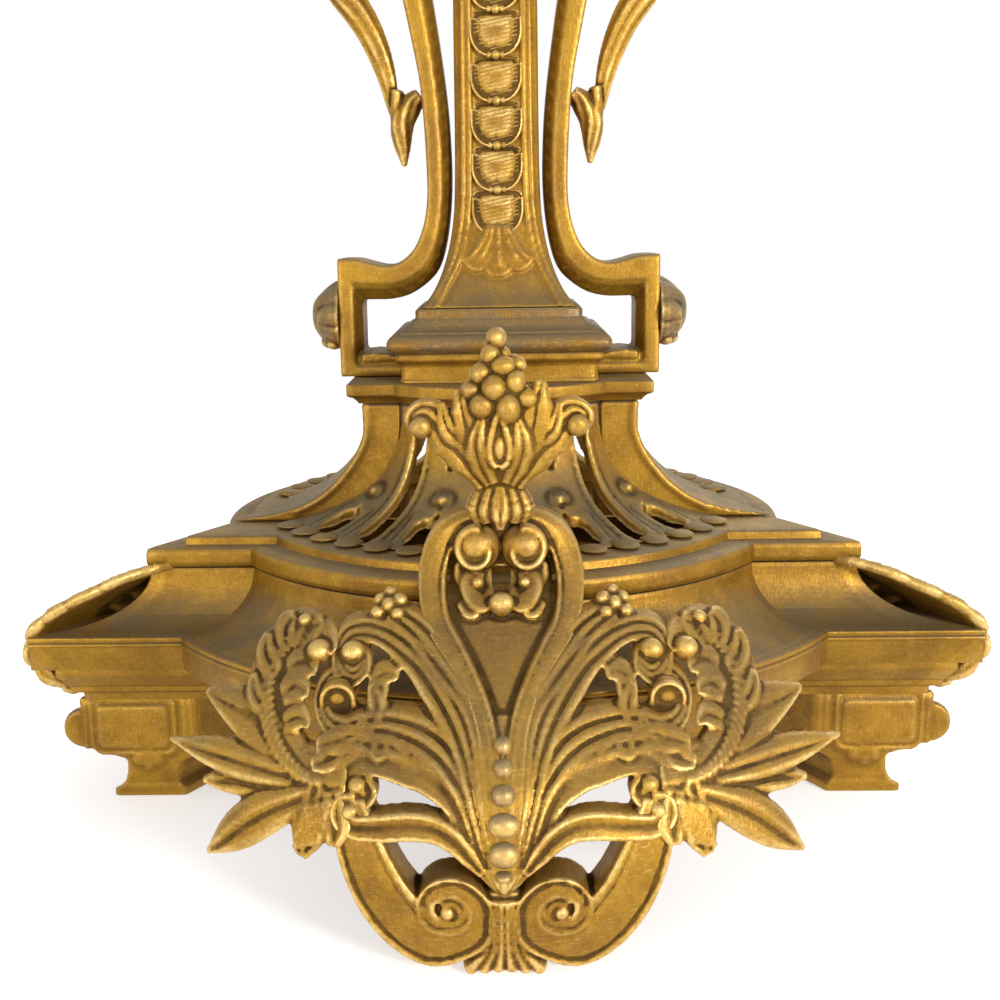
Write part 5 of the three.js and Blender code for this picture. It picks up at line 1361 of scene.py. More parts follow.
def finial_shapes():
    """The front finial: a leaf-fluted knob, a calyx of thick curled leaves and a small pile of berries."""
    y0 = (cad("berry_finial_front")[0][1] + cad("berry_finial_front")[1][1]) / 2
    body = [(11, 213.3), (15, 214.5), (17.4, 219), (16.6, 223.5), (13.8, 227.5), (13.2, 231), (16, 237),
            (21, 245),
            (25.5, 253), (27, 261), (25, 269), (20, 277), (12, 284), (6, 292)]
    shapes = [placed_at(stacked(body, 64), y0, 0.62)]
    for k in range(7):
        a = -math.pi / 2 + (k - 3) * 0.56
        c, s = math.cos(a), math.sin(a)
        foot = [(12.0 * c, y0 + 7.5 * s, 214), (15.6 * c, y0 + 9.6 * s, 219), (13.4 * c, y0 + 8.4 * s, 225.5),
                (10.4 * c, y0 + 6.6 * s, 231)]
        shapes.append(rod(spline(foot, 16), np.linspace(4.4, 2.8, 16), 9))
    shapes.append(standing_leaf([(0, y0 - 8.0, 233), (0, y0 - 11.0, 225), (0, y0 - 13.2, 217),
                                 (0, y0 - 12.2, 209)],
                                [6, 12, 12, 3], (0, -1, 0), plump=1.4))
    for side in (-1, 1):
        # the flanks of the cup, which run out into the side curls
        wing = [(side * 7, y0 - 7, 233), (side * 12, y0 - 10, 243), (side * 19, y0 - 11.5, 254),
                (side * 29, y0 - 10.5, 265),
                (side * 38, y0 - 9, 274), (side * 45.5, y0 - 8, 272), (side * 45.5, y0 - 8, 265)]
        shapes.append(standing_leaf(wing, [12, 20, 27, 26, 20, 15, 8], (0, -1, 0.15), 7.0, 46, 1.6, 3))
        shapes.append(ball((side * 42.0, y0 - 9.5, 266), (6.2, 5.2, 6.2), 20, 13))
        inner = [(side * 5, y0 - 9.5, 234), (side * 10.5, y0 - 14, 246), (side * 12.5, y0 - 15.5, 258),
                 (side * 9.5, y0 - 14.5, 271)]
        shapes.append(standing_leaf(inner, [9, 16, 18, 12, 5], (side * 0.3, -1, 0), 5.0, 30, 1.4))
    for x, top, w in ((21, 290, 24), (-20, 286, 18), (30, 278, 14), (-29, 279, 15)):
        tall = [(x * 0.45, y0 - 8, 246), (x * 0.8, y0 - 12, 260), (x * 0.96, y0 - 12.5, top - 13),
                (x * 1.08, y0 - 9.5, top)]
        shapes.append(standing_leaf(tall, [w * 0.8, w * 1.05, w, w * 0.72, w * 0.28], (0, -1, 0.1), 6.0, 30,
                                    1.5))
    # the drop-shaped eye in its rim
    shapes.append(ball((0, y0 - 15.4, 255), (3.4, 3.0, 6.8), 18, 13))
    rim = [(7.4 * math.sin(a) * (0.66 + 0.34 * math.cos(a)), y0 - 16.0, 259 - 14 * math.cos(a))
           for a in np.linspace(0, 2 * math.pi, 40)]
    shapes.append(rod(rim[:-1], 2.1, 8))
    berries = [(4.5, 276, 8.2, 13.0), (-9, 277.5, 7.0, 12.5), (14, 281, 6.6, 10.0), (-2.5, 286.5, 7.4, 12.6),
               (-14.5, 285, 6.0, 8.0),
               (8.5, 289.5, 6.6, 11.0), (-9.5, 294, 6.2, 9.0), (2.4, 298, 6.4, 10.0), (-4.4, 304, 5.6, 7.6),
               (9.5, 298.5, 5.2, 6.5),
               (-1.2, 312.4, 5.8, 4.5), (0, 292, 9.4, 0.0), (0, 303, 6.4, 0.0)]
    for k, (x, z, r, out) in enumerate(berries):
        squash = 0.9 + 0.2 * ((k * 7) % 5) / 4
        shapes.append(ball((x, y0 - out, z), (r * squash, r * 0.9, r * (2 - squash)), 20, 13))
        if out > 2:
            shapes.append(ball((x * 0.8, y0 + out * 0.55, z), (r, r, r), 14, 9))
    return shapes


def placed_at(shape, y, squash):
    points, faces = shape
    return points * np.array([1, squash, 1]) + np.array([0, y, 0]), faces


# ------------------------------------------------------------------ finishes

def value_node(tree, kind, **settings_of):
    node = tree.nodes.new(kind)
    for key, value in settings_of.items():
        setattr(node, key, value)
    return node


def maths(tree, operation, a, b=None, clamp=False):
    node = value_node(tree, "ShaderNodeMath", operation=operation, use_clamp=clamp)
    for socket, item in zip(node.inputs, (a, b)):
        if item is None:
            continue
        if isinstance(item, (int, float)):
            socket.default_value = item
        else:
            tree.links.new(item, socket)
    return node.outputs[0]


def ramp(tree, item, low, high, to_low=0.0, to_high=1.0):
    node = value_node(tree, "ShaderNodeMapRange", clamp=True)
    tree.links.new(item, node.inputs["Value"])
    node.inputs["From Min"].default_value = low
    node.inputs["From Max"].default_value = high
    node.inputs["To Min"].default_value = to_low
    node.inputs["To Max"].default_value = to_high
    return node.outputs["Result"]


def mixed(tree, factor, a, b):
    node = value_node(tree, "ShaderNodeMix", data_type="RGBA", blend_type="MIX")
    for socket, item in ((node.inputs[0], factor), (node.inputs[6], a), (node.inputs[7], b)):
        if isinstance(item, (int, float, tuple)):
            socket.default_value = item
        else:
            tree.links.new(item, socket)
    return node.outputs[2]


def noise(tree, place, scale, detail=3.0, roughness=0.55, stretch=None):
    if stretch:
        mapping = value_node(tree, "ShaderNodeMapping")
        mapping.inputs["Scale"].default_value = stretch
        tree.links.new(place, mapping.inputs["Vector"])
        place = mapping.outputs[0]
    node = value_node(tree, "ShaderNodeTexNoise")
    tree.links.new(place, node.inputs["Vector"])
    node.inputs["Scale"].default_value = scale
    node.inputs["Detail"].default_value = detail
    node.inputs["Roughness"].default_value = roughness
    return node.outputs["Fac"]


def new_group(name, inputs, outputs):
    """An empty shader node group with named inputs (name, type, default) and outputs (name, type)."""
    tree = bpy.data.node_groups.new(name, "ShaderNodeTree")
    for label, kind, default in inputs:
        socket = tree.interface.new_socket(label, in_out="INPUT", socket_type=kind)
        if default is not None:
            socket.default_value = default
    for label, kind in outputs:
        tree.interface.new_socket(label, in_out="OUTPUT", socket_type=kind)
    return tree, tree.nodes.new("NodeGroupInput"), tree.nodes.new("NodeGroupOutput")


def attribute(tree, name):
    return value_node(tree, "ShaderNodeAttribute", attribute_name=name).outputs["Fac"]


def build_patina_group():
    """Gilding that wears and takes a painted highlight on ridges, darkens with dirt and painted shade in
    hollows and greys with dust on upward faces.
    """
    tree, given, result = new_group(
        "Gilt patina",
        [("Gold", "NodeSocketColor", None), ("Deep gold", "NodeSocketColor", None),
         ("Bright", "NodeSocketColor", None),
         ("Grime", "NodeSocketColor", None), ("Dust", "NodeSocketColor", None),
         ("Wear", "NodeSocketFloat", 0.6), ("Grime amount", "NodeSocketFloat", 0.8),
         ("Dust amount", "NodeSocketFloat", 0.75), ("Streaks", "NodeSocketFloat", 0.3)],
        [("Color", "NodeSocketColor"), ("Roughness", "NodeSocketFloat"), ("Height", "NodeSocketFloat")])
    place = value_node(tree, "ShaderNodeTexCoord").outputs["Object"]
    fine, broad = attribute(tree, "hollow_fine"), attribute(tree, "hollow_broad")
    cloudy = noise(tree, place, 14, 4, 0.6)
    patchy = noise(tree, place, 55, 5, 0.65)
    grain = noise(tree, place, 420, 3, 0.6)
    specks = noise(tree, place, 900, 2, 0.5)
    stroke = noise(tree, place, 160, 4, 0.6, (1.0, 1.0, 7.0))
    hatch = noise(tree, place, 260, 3, 0.6, (5.0, 1.0, 1.0))
    tone = maths(tree, "ADD", maths(tree, "MULTIPLY", cloudy, 0.55), maths(tree, "MULTIPLY", patchy, 0.45))
    base = mixed(tree, ramp(tree, tone, 0.43, 0.58), given.outputs["Gold"], given.outputs["Deep gold"])
    # worn edges and a painted highlight: rubbed gold and lighter colour on the ridges
    ridge = maths(tree, "ADD", ramp(tree, fine, -0.03, -0.14), ramp(tree, broad, -0.6, -1.9, 0.0, 0.8),
                  clamp=True)
    ridge = maths(tree, "MULTIPLY", ridge, ramp(tree, patchy, 0.34, 0.56, 0.25, 1.0))
    ridge = maths(tree, "MULTIPLY", ridge, given.outputs["Wear"], clamp=True)
    colour = mixed(tree, ridge, base, given.outputs["Bright"])
    # streaks of a lighter rub
    rub = maths(tree, "MULTIPLY", ramp(tree, stroke, 0.54, 0.72), given.outputs["Streaks"])
    colour = mixed(tree, rub, colour, given.outputs["Bright"])
    colour = mixed(tree, ramp(tree, grain, 0.50, 0.66, 0.0, 0.42), colour, given.outputs["Deep gold"])
    colour = mixed(tree, maths(tree, "MULTIPLY", ramp(tree, hatch, 0.54, 0.74), 0.2), colour,
                   given.outputs["Bright"])
    # dust on upward faces
    normal = value_node(tree, "ShaderNodeNewGeometry").outputs["Normal"]
    split = value_node(tree, "ShaderNodeSeparateXYZ")
    tree.links.new(normal, split.inputs[0])
    up = ramp(tree, split.outputs["Z"], 0.22, 0.82)
    dusty = maths(tree, "MULTIPLY", up,
                  ramp(tree, maths(tree, "ADD", patchy, maths(tree, "MULTIPLY", cloudy, 0.5)), 0.52, 0.86,
                       0.55, 1.0))
    dusty = maths(tree, "MULTIPLY", dusty, given.outputs["Dust amount"], clamp=True)
    colour = mixed(tree, dusty, colour, given.outputs["Dust"])
    # dirt and painted shade in hollows: dark brown in creases and between parts
    hollow = maths(tree, "ADD", ramp(tree, fine, 0.006, 0.062), ramp(tree, broad, 0.05, 0.42), clamp=True)
    hollow = maths(tree, "MULTIPLY", hollow, ramp(tree, patchy, 0.25, 0.6, 1.0, 0.6))
    hollow = maths(tree, "MULTIPLY", hollow, given.outputs["Grime amount"], clamp=True)
    colour = mixed(tree, hollow, colour, given.outputs["Grime"])
    speck = maths(tree, "MULTIPLY", ramp(tree, specks, 0.70, 0.76), 0.55)
    colour = mixed(tree, speck, colour, given.outputs["Grime"])
    rough = maths(tree, "ADD", ramp(tree, grain, 0.2, 0.8, 0.34, 0.5), maths(tree, "MULTIPLY", dusty, 0.3))
    rough = maths(tree, "ADD", rough, maths(tree, "MULTIPLY", hollow, 0.25))
    rough = maths(tree, "SUBTRACT", rough, maths(tree, "MULTIPLY", ridge, 0.08), clamp=True)
    height = maths(tree, "ADD", maths(tree, "MULTIPLY", grain, 0.4), maths(tree, "MULTIPLY", hatch, 0.5))
    height = maths(tree, "ADD", height, maths(tree, "MULTIPLY", patchy, 0.5))
    tree.links.new(colour, result.inputs["Color"])
    tree.links.new(rough, result.inputs["Roughness"])
    tree.links.new(height, result.inputs["Height"])
    return tree


def gilt_material(name, group, colours_given, amounts, metallic, bump):
    """A gilt finish: the shared patina drives the colour, the gloss and the relief of one metal shader."""
    material = bpy.data.materials.new(name)
    material.use_nodes = True
    tree = material.node_tree
    shader = tree.nodes["Principled BSDF"]
    patina = value_node(tree, "ShaderNodeGroup", node_tree=group)
    for label, colour in colours_given.items():
        patina.inputs[label].default_value = (*colour, 1)
    for label, amount in amounts.items():
        patina.inputs[label].default_value = amount
    relief = value_node(tree, "ShaderNodeBump")
    relief.inputs["Strength"].default_value = bump
    relief.inputs["Distance"].default_value = BUMP_DISTANCE
    tree.links.new(patina.outputs["Height"], relief.inputs["Height"])
    tree.links.new(patina.outputs["Color"], shader.inputs["Base Color"])
    tree.links.new(patina.outputs["Roughness"], shader.inputs["Roughness"])
    tree.links.new(relief.outputs["Normal"], shader.inputs["Normal"])
    shader.inputs["Metallic"].default_value = metallic
    shader.inputs["Specular IOR Level"].default_value = GILT_SPECULAR
    return material


def iron_material():
    material = bpy.data.materials.new("Iron")
    material.use_nodes = True
    tree = material.node_tree
    shader = tree.nodes["Principled BSDF"]
    place = value_node(tree, "ShaderNodeTexCoord").outputs["Object"]
    spots = noise(tree, place, 90, 4, 0.6)
    dark = (*colours().iron, 1)
    rust = (0.11, 0.045, 0.018, 1)
    tree.links.new(mixed(tree, ramp(tree, spots, 0.5, 0.72), dark, rust), shader.inputs["Base Color"])
    tree.links.new(ramp(tree, spots, 0.3, 0.8, 0.45, 0.75), shader.inputs["Roughness"])
    shader.inputs["Metallic"].default_value = 0.8
    return material


# ------------------------------------------------------------------ repeats made with geometry nodes

def repeat_tree(name, inputs):
    """An empty geometry tree with named inputs, its input and output nodes in place."""
    tree = bpy.data.node_groups.new(name, "GeometryNodeTree")
    tree.interface.new_socket("Geometry", in_out="INPUT", socket_type="NodeSocketGeometry")
    for label, kind in inputs:
        tree.interface.new_socket(label, in_out="INPUT", socket_type=kind)
    tree.interface.new_socket("Geometry", in_out="OUTPUT", socket_type="NodeSocketGeometry")
    return tree, tree.nodes.new("NodeGroupInput"), tree.nodes.new("NodeGroupOutput")


def along_curve_tree():
    """Sets a unit shape at even steps along a curve, turned to follow it, and makes the result one mesh."""
    tree, given, result = repeat_tree("Repeat along a line", [
        ("Unit", "NodeSocketObject"), ("Pitch", "NodeSocketFloat"), ("Finish", "NodeSocketMaterial")])
    nodes, links = tree.nodes, tree.links
    to_points = nodes.new("GeometryNodeCurveToPoints")
    to_points.mode = "LENGTH"
    links.new(given.outputs["Geometry"], to_points.inputs["Curve"])
    links.new(given.outputs["Pitch"], to_points.inputs["Length"])
    unit = nodes.new("GeometryNodeObjectInfo")
    unit.transform_space = "ORIGINAL"
    links.new(given.outputs["Unit"], unit.inputs["Object"])
    place = nodes.new("GeometryNodeInstanceOnPoints")
    links.new(to_points.outputs["Points"], place.inputs["Points"])
    links.new(to_points.outputs["Rotation"], place.inputs["Rotation"])
    links.new(unit.outputs["Geometry"], place.inputs["Instance"])
    real = nodes.new("GeometryNodeRealizeInstances")
    finish = nodes.new("GeometryNodeSetMaterial")
    links.new(place.outputs["Instances"], real.inputs["Geometry"])
    links.new(real.outputs["Geometry"], finish.inputs["Geometry"])
    links.new(given.outputs["Finish"], finish.inputs["Material"])
    links.new(finish.outputs["Geometry"], result.inputs["Geometry"])
    return tree


def filled_input(modifier, tree, values):
    """Sets a modifier's inputs by their sockets' identifiers."""
    names = {item.name: item.identifier for item in tree.interface.items_tree
             if item.item_type == "SOCKET" and item.in_out == "INPUT"}
    for label, value in values.items():
        modifier[names[label]] = value


def repeated(name, paths, unit_shape, pitch, finish):
    """A plain mesh of a unit shape set at a pitch along each path, made by the shared geometry tree."""
    unit = mesh_object(name + " unit", unit_shape)
    unit.hide_render = True
    tree = bpy.data.node_groups.get("Repeat along a line") or along_curve_tree()
    parts = []
    for k, path in enumerate(paths):
        curve = bpy.data.curves.new(f"{name} path {k}", "CURVE")
        curve.dimensions = "3D"
        line = curve.splines.new("POLY")
        line.points.add(len(path) - 1)
        for point, co in zip(line.points, np.asarray(path) * MM):
            point.co = (*co, 1)
        holder = bpy.data.objects.new(f"{name} path {k}", curve)
        bpy.context.scene.collection.objects.link(holder)
        modifier = holder.modifiers.new("repeat", "NODES")
        modifier.node_group = tree
        filled_input(modifier, tree, {"Unit": unit, "Pitch": pitch, "Finish": bpy.data.materials[finish]})
        graph = bpy.context.evaluated_depsgraph_get()
        mesh = bpy.data.meshes.new_from_object(holder.evaluated_get(graph))
        parts.append((np.array([v.co for v in mesh.vertices]).reshape(-1, 3) / MM,
                      [list(p.vertices) for p in mesh.polygons]))
        bpy.data.objects.remove(holder)
        bpy.data.meshes.remove(mesh)
    bpy.data.objects.remove(unit)
    return joined(parts)


# ------------------------------------------------------------------ one operator for each piece or group

class TORCHERE_OT_finishes(bpy.types.Operator):
    """Makes the gilt, worn and iron finishes"""
    bl_idname = "torchere.finishes"
    bl_label = "Make Finishes"

    def execute(self, context):
        c = colours()
        group = build_patina_group()
        tones = {"Gold": c.gold, "Deep gold": c.gold_deep, "Bright": c.bright, "Grime": c.dirt_and_shade,
                 "Dust": c.dust}
        # Each finish's edge amount sets rubbed gold with a painted highlight on its ridges, and its hollow
        # amount sets dirt with painted shade in its hollows.
        gilt_material("Gilt body", group, tones,
                      {"Wear": 0.15, "Grime amount": 0.28, "Dust amount": 0.9, "Streaks": 0.16}, 0.62, 0.4)
        gilt_material("Gilt ornament", group, tones,
                      {"Wear": 0.85, "Grime amount": 1.0, "Dust amount": 0.4, "Streaks": 0.3}, 0.6, 0.6)
        gilt_material("Gilt dusty", group, tones,
                      {"Wear": 0.5, "Grime amount": 1.0, "Dust amount": 1.0, "Streaks": 0.1}, 0.65, 0.12)
        worn = dict(tones, Gold=c.worn)
        gilt_material("Gilt worn", group, worn,
                      {"Wear": 0.7, "Grime amount": 0.8, "Dust amount": 0.9, "Streaks": 0.3}, 0.5, 0.35)
        iron_material()
        for node in ("spine_bar", "tie_rod", "tie_washer_bottom", "tie_nut_bottom", "tie_washer_top",
                     "tie_nut_top",
                     "bracket_screw_left", "bracket_screw_right", "mount_screw_front", "mount_screw_back",
                     "foot_screw_front", "foot_screw_back", "foot_stud_front_left", "foot_stud_front_right",
                     "foot_stud_back_left", "foot_stud_back_right"):
            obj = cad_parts[node]
            for material_slot in obj.material_slots:
                material_slot.material = bpy.data.materials["Iron"]
        return {"FINISHED"}


class TORCHERE_OT_plinth(bpy.types.Operator):
    """Makes the cross-shaped plinth, its neck, the step and the cap of the bell"""
    bl_idname = "torchere.plinth"
    bl_label = "Make Plinth"

    def execute(self, context):
        moulded_piece("Plinth", [plinth_shape()], ["plinth"])
        moulded_piece("Plinth neck", [neck_shape()], ["plinth_neck"])
        moulded_piece("Upper step", [step_shape()], ["upper_step"])
        moulded_piece("Bell cap", [cap_shape()], ["bell_cap"])
        return {"FINISHED"}


class TORCHERE_OT_bell(bpy.types.Operator):
    """Makes the pierced panels and the ribs of the bell"""
    bl_idname = "torchere.bell"
    bl_label = "Make Bell"

    def execute(self, context):
        voxel = settings().casting_voxel
        front = panel_object("Pierced panel front", PANEL_EDGE_FRONT, OPENINGS, BOSSES)
        back = panel_object("Pierced panel back", PANEL_EDGE_BACK, OPENINGS + SIDE_OPENINGS, BOSSES + [80])
        for vertex in back.data.vertices:
            vertex.co.x, vertex.co.y = -vertex.co.x, -vertex.co.y
        for depth, panel in (("front", front), ("back", back)):
            cast_together(panel, voxel, 1)
            finished(panel, "Gilt dusty", [f"pierced_panel_{depth}"])
        for side, copy in (("right", FRONT), ("left", MIRROR_X)):
            cast_piece(f"Rib {side}", all_placed(rib_shapes(), copy), [f"rib_{side}"], voxel, 2,
                       material="Gilt body")
        petals = petal_ring()
        moulded_piece("Bell foot petals", [petals], [])
        return {"FINISHED"}


def petal_ring():
    """Flat oval petals round the foot of the bell, stepped along the riser's edge."""
    unit = ball((0, 0, 0), (9.8, 2.0, 8.6), 18, 9)
    paths = []
    for base, reach in ((-90, 61), (90, 80)):
        angles = np.radians(base + np.linspace(-reach, reach, 80))
        paths.append([(PETAL_RADIUS * math.cos(a), PETAL_RADIUS * math.sin(a), PETAL_HEIGHT) for a in angles])
    return repeated("Bell foot petals", paths, unit, settings().petal_pitch, "Gilt body")


class TORCHERE_OT_shaft(bpy.types.Operator):
    """Makes the socle, the lower and upper shaft, the knop and the capital"""
    bl_idname = "torchere.shaft"
    bl_label = "Make Shaft"

    def execute(self, context):
        moulded_piece("Socle drum", [square_moulding(socle_drum_rows(), 5, 9, 1.5)], ["socle_drum"])
        moulded_piece("Socle moulding", [square_moulding(socle_moulding_rows(), 5, 9, 1.5)],
                      ["socle_moulding"],
                      "Gilt worn")
        cast_piece("Lower shaft", lower_shaft_shapes() + shaft_panel_shapes(), ["shaft_lower"],
                   SHAFT_VOXEL, 1,
                   material="Gilt body")
        moulded_piece("Shaft knop", [gadrooned(knop_profile(), 16, 2.6, 597, 632, 192)], ["shaft_knop"],
                      "Gilt ornament")
        flutes = settings().flutes
        moulded_piece("Upper shaft", [gadrooned(upper_shaft_profile(), flutes, 1.9, 676, 962, flutes * 12)],
                      ["shaft_upper"])
        moulded_piece("Capital", [gadrooned(capital_profile(), 12, 3.4, 992, 1048, 144)], ["capital"],
                      "Gilt ornament")
        return {"FINISHED"}


class TORCHERE_OT_garland(bpy.types.Operator):
    """Makes the garland of overlapping coins down the shaft's front and back panels"""
    bl_idname = "torchere.garland"
    bl_label = "Make Garland"

    def execute(self, context):
        shapes = [shape for face in (-1, 1) for z in coin_rows() for shape in scale_coin(face, z)]
        moulded_piece("Coin garland", shapes, [], "Gilt ornament", 50)
        return {"FINISHED"}


def coin_rows():
    pitch = settings().coin_pitch / MM
    return np.arange(382.0, 570.0, pitch)


def scale_coin(face, z):
    """One hanging coin: a U-shaped scale with a raised rim and a bead in the notch at its foot."""
    surface = float(shaft_half(z)) - 2.6
    a = np.linspace(0, 2 * math.pi, 61)[:-1]
    low = np.sin(a) < 0
    px = 17.4 * np.sign(np.cos(a)) * np.abs(np.cos(a)) ** np.where(low, 0.8, 0.3)
    pz = np.where(low, 17.4 * np.sin(a), 13.0 * np.abs(np.sin(a)) ** 0.3)
    notch = np.exp(-((px / 3.2) ** 2)) * low * 3.0
    rings = []
    for scale, lift in ((1.0, -0.6), (1.0, 1.0), (0.97, 2.0), (0.93, 2.2), (0.89, 1.6), (0.85, 1.5),
                        (0.5, 2.2), (0.1, 2.4)):
        x, h = px * scale, (pz + notch) * scale
        lean = np.clip((8 - h) / 22, 0, 1.2)
        rings.append(np.column_stack([x, face * (surface + lift + 2.4 * lean - 1.6 * (h > 8)), z + h]))
    shapes = [loft(rings)]
    shapes.append(ball((0, face * (surface + 3.6), z - 15.8), (2.9, 2.2, 3.1), 16, 9))
    for side in (-1, 1):
        shapes.append(ball((side * 4.4, face * (surface + 3.0), z - 15.6), (2.0, 1.6, 2.2), 12, 7))
    for k in range(-5, 8):
        line = np.linspace([-14.0, -9.4 + 2.6 * k], [14.0, -3.4 + 2.6 * k], 9)
        keep = [(x, h) for x, h in line if (x / 14.6) ** 2 + (min(h, 0) / 13.5) ** 2 < 1 and h < 9]
        out = [surface + 1.9 + 0.5 * (1 - (x / 15) ** 2) + 2.0 * np.clip((8 - h) / 22, 0, 1.2) for x, h in keep]
        if len(keep) > 2:
            shapes.append(rod([(x, face * y, z + h) for (x, h), y in zip(keep, out)], 0.34, 5))
    return shapes


class TORCHERE_OT_brackets(bpy.types.Operator):
    """Makes the scroll brackets, their shells and the leaves that hang from them"""
    bl_idname = "torchere.brackets"
    bl_label = "Make Brackets"

    def execute(self, context):
        body = bracket_shapes() + hatch_rods()
        for side, copy in (("right", FRONT), ("left", MIRROR_X)):
            cast_piece(f"Bracket {side}", all_placed(body, copy), [f"bracket_{side}"],
                       BRACKET_VOXEL, 2, material="Gilt body")
            cast_piece(f"Bracket shell {side}", all_placed(shell_shapes(), copy), [f"bracket_shell_{side}"],
                       material="Gilt worn")
            cast_piece(f"Pendant leaf {side}", all_placed(pendant_shapes(), copy), [f"pendant_leaf_{side}"])
        return {"FINISHED"}


class TORCHERE_OT_feet(bpy.types.Operator):
    """Makes the four block feet and the leaves over the plinth's ends"""
    bl_idname = "torchere.feet"
    bl_label = "Make Feet"

    def execute(self, context):
        front = [sheared(shape, -108) for shape in foot_shapes()]
        back = [turned_foot(shape, 50) for shape in foot_shapes()]
        for corner, shapes, copy in (("front_right", front, FRONT), ("front_left", front, MIRROR_X),
                                     ("back_right", back, FRONT), ("back_left", back, MIRROR_X)):
            cast_piece(f"Block foot {corner}", all_placed(shapes, copy), [f"block_foot_{corner}"],
                       FOOT_VOXEL, 2, material="Gilt body")
        for side, copy in (("right", FRONT), ("left", MIRROR_X)):
            cast_piece(f"End leaf {side}", all_placed(end_leaf_shapes(), copy), [f"end_leaf_{side}"],
                       voxel=FOOT_VOXEL)
        return {"FINISHED"}


class TORCHERE_OT_heart(bpy.types.Operator):
    """Makes the heart-shaped mounts with their beaded stems, in front and behind"""
    bl_idname = "torchere.heart"
    bl_label = "Make Hearts"

    def execute(self, context):
        shapes = heart_shapes()
        for depth, copy in (("front", FRONT), ("back", HALF_TURN)):
            cast_piece(f"Heart mount {depth}", all_placed(shapes, copy), [f"heart_mount_{depth}"])
            moulded_piece(f"Stem beads {depth}", all_placed(bead_shapes(), copy), [],
                          "Gilt worn", 60)
        return {"FINISHED"}


class TORCHERE_OT_scrolls(bpy.types.Operator):
    """Makes the side scrolls and the leaf sprays, in front and behind"""
    bl_idname = "torchere.scrolls"
    bl_label = "Make Scrolls"

    def execute(self, context):
        for node, copy in copies_of_pairs("side_scroll"):
            cast_piece(node.replace("_", " ").capitalize(), all_placed(side_scroll_shapes(), copy), [node])
        for node, copy in copies_of_pairs("leaf_spray"):
            cast_piece(node.replace("_", " ").capitalize(), all_placed(leaf_spray_shapes(), copy), [node])
        return {"FINISHED"}


class TORCHERE_OT_scroll_feet(bpy.types.Operator):
    """Makes the scroll feet, in front and behind"""
    bl_idname = "torchere.scroll_feet"
    bl_label = "Make Scroll Feet"

    def execute(self, context):
        for depth, copy in (("front", FRONT), ("back", HALF_TURN)):
            obj = mesh_object(f"Scroll foot {depth}", joined(all_placed(scroll_foot_shapes(), copy)))
            cast_together(obj, settings().ornament_voxel, 2)
            for vertex in obj.data.vertices:
                vertex.co.z = max(vertex.co.z, 0.0)
            finished(obj, "Gilt ornament", [f"scroll_foot_{depth}"])
        return {"FINISHED"}


class TORCHERE_OT_finials(bpy.types.Operator):
    """Makes the berry finials that stand on the hearts"""
    bl_idname = "torchere.finials"
    bl_label = "Make Finials"

    def execute(self, context):
        shapes = finial_shapes()
        for depth, copy in (("front", FRONT), ("back", HALF_TURN)):
            cast_piece(f"Berry finial {depth}", all_placed(shapes, copy), [f"berry_finial_{depth}"],
                       voxel=FINIAL_VOXEL)
        return {"FINISHED"}


class TORCHERE_OT_top(bpy.types.Operator):
    """Makes the round top and the disc that closes it"""
    bl_idname = "torchere.top"
    bl_label = "Make Top"

    def execute(self, context):
        moulded_piece("Top plate", [turned(top_profile(), 160)], ["top_plate"])
        top = HEIGHT
        disc = [(0.05, top - 6), (30, top - 6), (30, top - 0.8), (29.2, top), (9, top), (8, top - 0.6),
                (0.05, top - 0.6)]
        moulded_piece("Top disc", [turned(disc, 96)], ["top_cap_disc"])
        return {"FINISHED"}


class TORCHERE_OT_stage(bpy.types.Operator):
    """Sets the floor, the white surroundings, the soft lights and the camera"""
    bl_idname = "torchere.stage"
    bl_label = "Set Stage"

    def execute(self, context):
        scene = context.scene
        scene.view_settings.view_transform = "Standard"
        points = np.array([(-4000, -4000, 0), (4000, -4000, 0), (4000, 4000, 0), (-4000, 4000, 0)], float)
        floor = mesh_object("Floor", (points, [[0, 1, 2, 3]]))
        floor.data.materials.append(white_surround("Floor white", 0.86))
        world = bpy.data.worlds.new("Studio")
        scene.world = world
        world.use_nodes = True
        tree = world.node_tree
        background = tree.nodes["Background"]
        background.inputs["Color"].default_value = (1, 1, 1, 1)
        tree.links.new(ramp(tree, seen_as_white(tree), 0, 1, SURROUND_LEVEL, 1.0),
                       background.inputs["Strength"])
        lamp("Key", (1.4, -1.9, 0.75), (0.0, 0.0, 0.15), 0.4, 38)
        lamp("Fill", (-1.2, -1.9, 0.35), (0, 0, 0.15), 1.0, 14)
        lamp("Rim", (0.7, 1.3, 1.4), (0, 0, 0.4), 1.0, 9)
        add_camera(scene)
        return {"FINISHED"}


def seen_as_white(tree):
    """1 for the rays by which the camera, a reflection or glass sees the surroundings, and 0 for the rest."""
    path = value_node(tree, "ShaderNodeLightPath")
    through = maths(tree, "MAXIMUM", path.outputs["Is Glossy Ray"], path.outputs["Is Transmission Ray"])
    return maths(tree, "MAXIMUM", path.outputs["Is Camera Ray"], through)


def white_surround(name, shade):
    """A floor that a camera, a reflection or glass sees as white except for the object's shadow."""
    material = bpy.data.materials.new(name)
    material.use_nodes = True
    tree = material.node_tree
    shader = tree.nodes["Principled BSDF"]
    shader.inputs["Base Color"].default_value = (shade, shade, shade, 1)
    shader.inputs["Roughness"].default_value = 0.9
    shader.inputs["Emission Color"].default_value = (1, 1, 1, 1)
    tree.links.new(maths(tree, "MULTIPLY", seen_as_white(tree), SURROUND_LEVEL),
                   shader.inputs["Emission Strength"])
    return material


def lamp(name, place, aim, size, power):
    data = bpy.data.lights.new(name, "AREA")
    data.size = size
    data.energy = power
    obj = bpy.data.objects.new(name, data)
    from_to = np.array(aim) - np.array(place)
    obj.location = place
    obj.rotation_mode = "QUATERNION"
    obj.rotation_quaternion = Vector(from_to).to_track_quat("-Z", "Y")
    bpy.context.scene.collection.objects.link(obj)


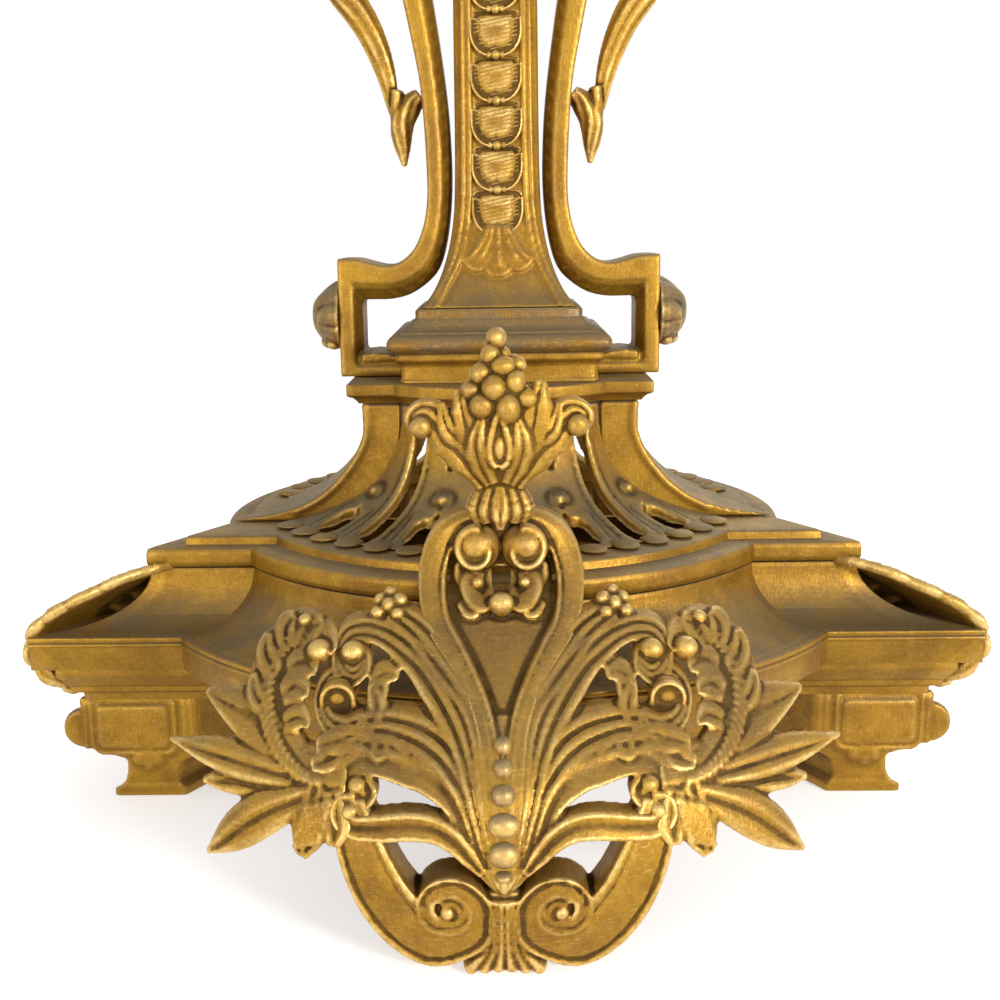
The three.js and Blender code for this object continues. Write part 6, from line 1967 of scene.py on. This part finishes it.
def add_camera(scene):
    """The photograph's viewpoint: in front, a little above the plinth and looking slightly down."""
    data = bpy.data.cameras.new("Camera")
    data.sensor_width = 36
    data.lens = CAMERA_LENS
    data.shift_x, data.shift_y = CAMERA_SHIFT
    data.clip_end = 20
    camera = bpy.data.objects.new("Camera", data)
    yaw, pitch, roll = (math.radians(v) for v in CAMERA_TURN)
    forward = np.array([math.sin(yaw) * math.cos(pitch), math.cos(yaw) * math.cos(pitch), -math.sin(pitch)])
    right = np.array([math.cos(yaw), -math.sin(yaw), 0])
    up = np.cross(right, forward)
    across = math.cos(roll) * right - math.sin(roll) * up
    over = math.sin(roll) * right + math.cos(roll) * up
    turn = Matrix([[across[k], over[k], -forward[k]] for k in range(3)]).to_4x4()
    turn.translation = CAMERA_PLACE
    camera.matrix_world = turn
    scene.collection.objects.link(camera)
    scene.camera = camera


class TORCHERE_PT_panel(bpy.types.Panel):
    """Lists the sizes, the colours and the pieces"""
    bl_idname = "TORCHERE_PT_panel"
    bl_label = "Gilt Torchere"
    bl_space_type = "VIEW_3D"
    bl_region_type = "UI"
    bl_category = "Torchere"

    def draw(self, context):
        layout = self.layout
        for group in (context.scene.torchere_sizes, context.scene.torchere_colours):
            box = layout.box()
            for key in group.__annotations__:
                box.prop(group, key)
        for operator in OPERATORS:
            layout.operator(operator.bl_idname)


OPERATORS = [
    TORCHERE_OT_finishes, TORCHERE_OT_plinth, TORCHERE_OT_bell, TORCHERE_OT_shaft, TORCHERE_OT_garland,
    TORCHERE_OT_brackets, TORCHERE_OT_feet, TORCHERE_OT_heart, TORCHERE_OT_scrolls, TORCHERE_OT_scroll_feet,
    TORCHERE_OT_finials, TORCHERE_OT_top, TORCHERE_OT_stage]
CLASSES = [TorchereSizes, TorchereColours, *OPERATORS, TORCHERE_PT_panel]


def register():
    for item in CLASSES:
        bpy.utils.register_class(item)
    bpy.types.Scene.torchere_sizes = PointerProperty(type=TorchereSizes)
    bpy.types.Scene.torchere_colours = PointerProperty(type=TorchereColours)


def unregister():
    del bpy.types.Scene.torchere_colours
    del bpy.types.Scene.torchere_sizes
    for item in reversed(CLASSES):
        bpy.utils.unregister_class(item)


def main():
    register()
    for operator in OPERATORS:
        category, name = operator.bl_idname.split(".")
        getattr(getattr(bpy.ops, category), name)()


if __name__ == "__main__":
    main()
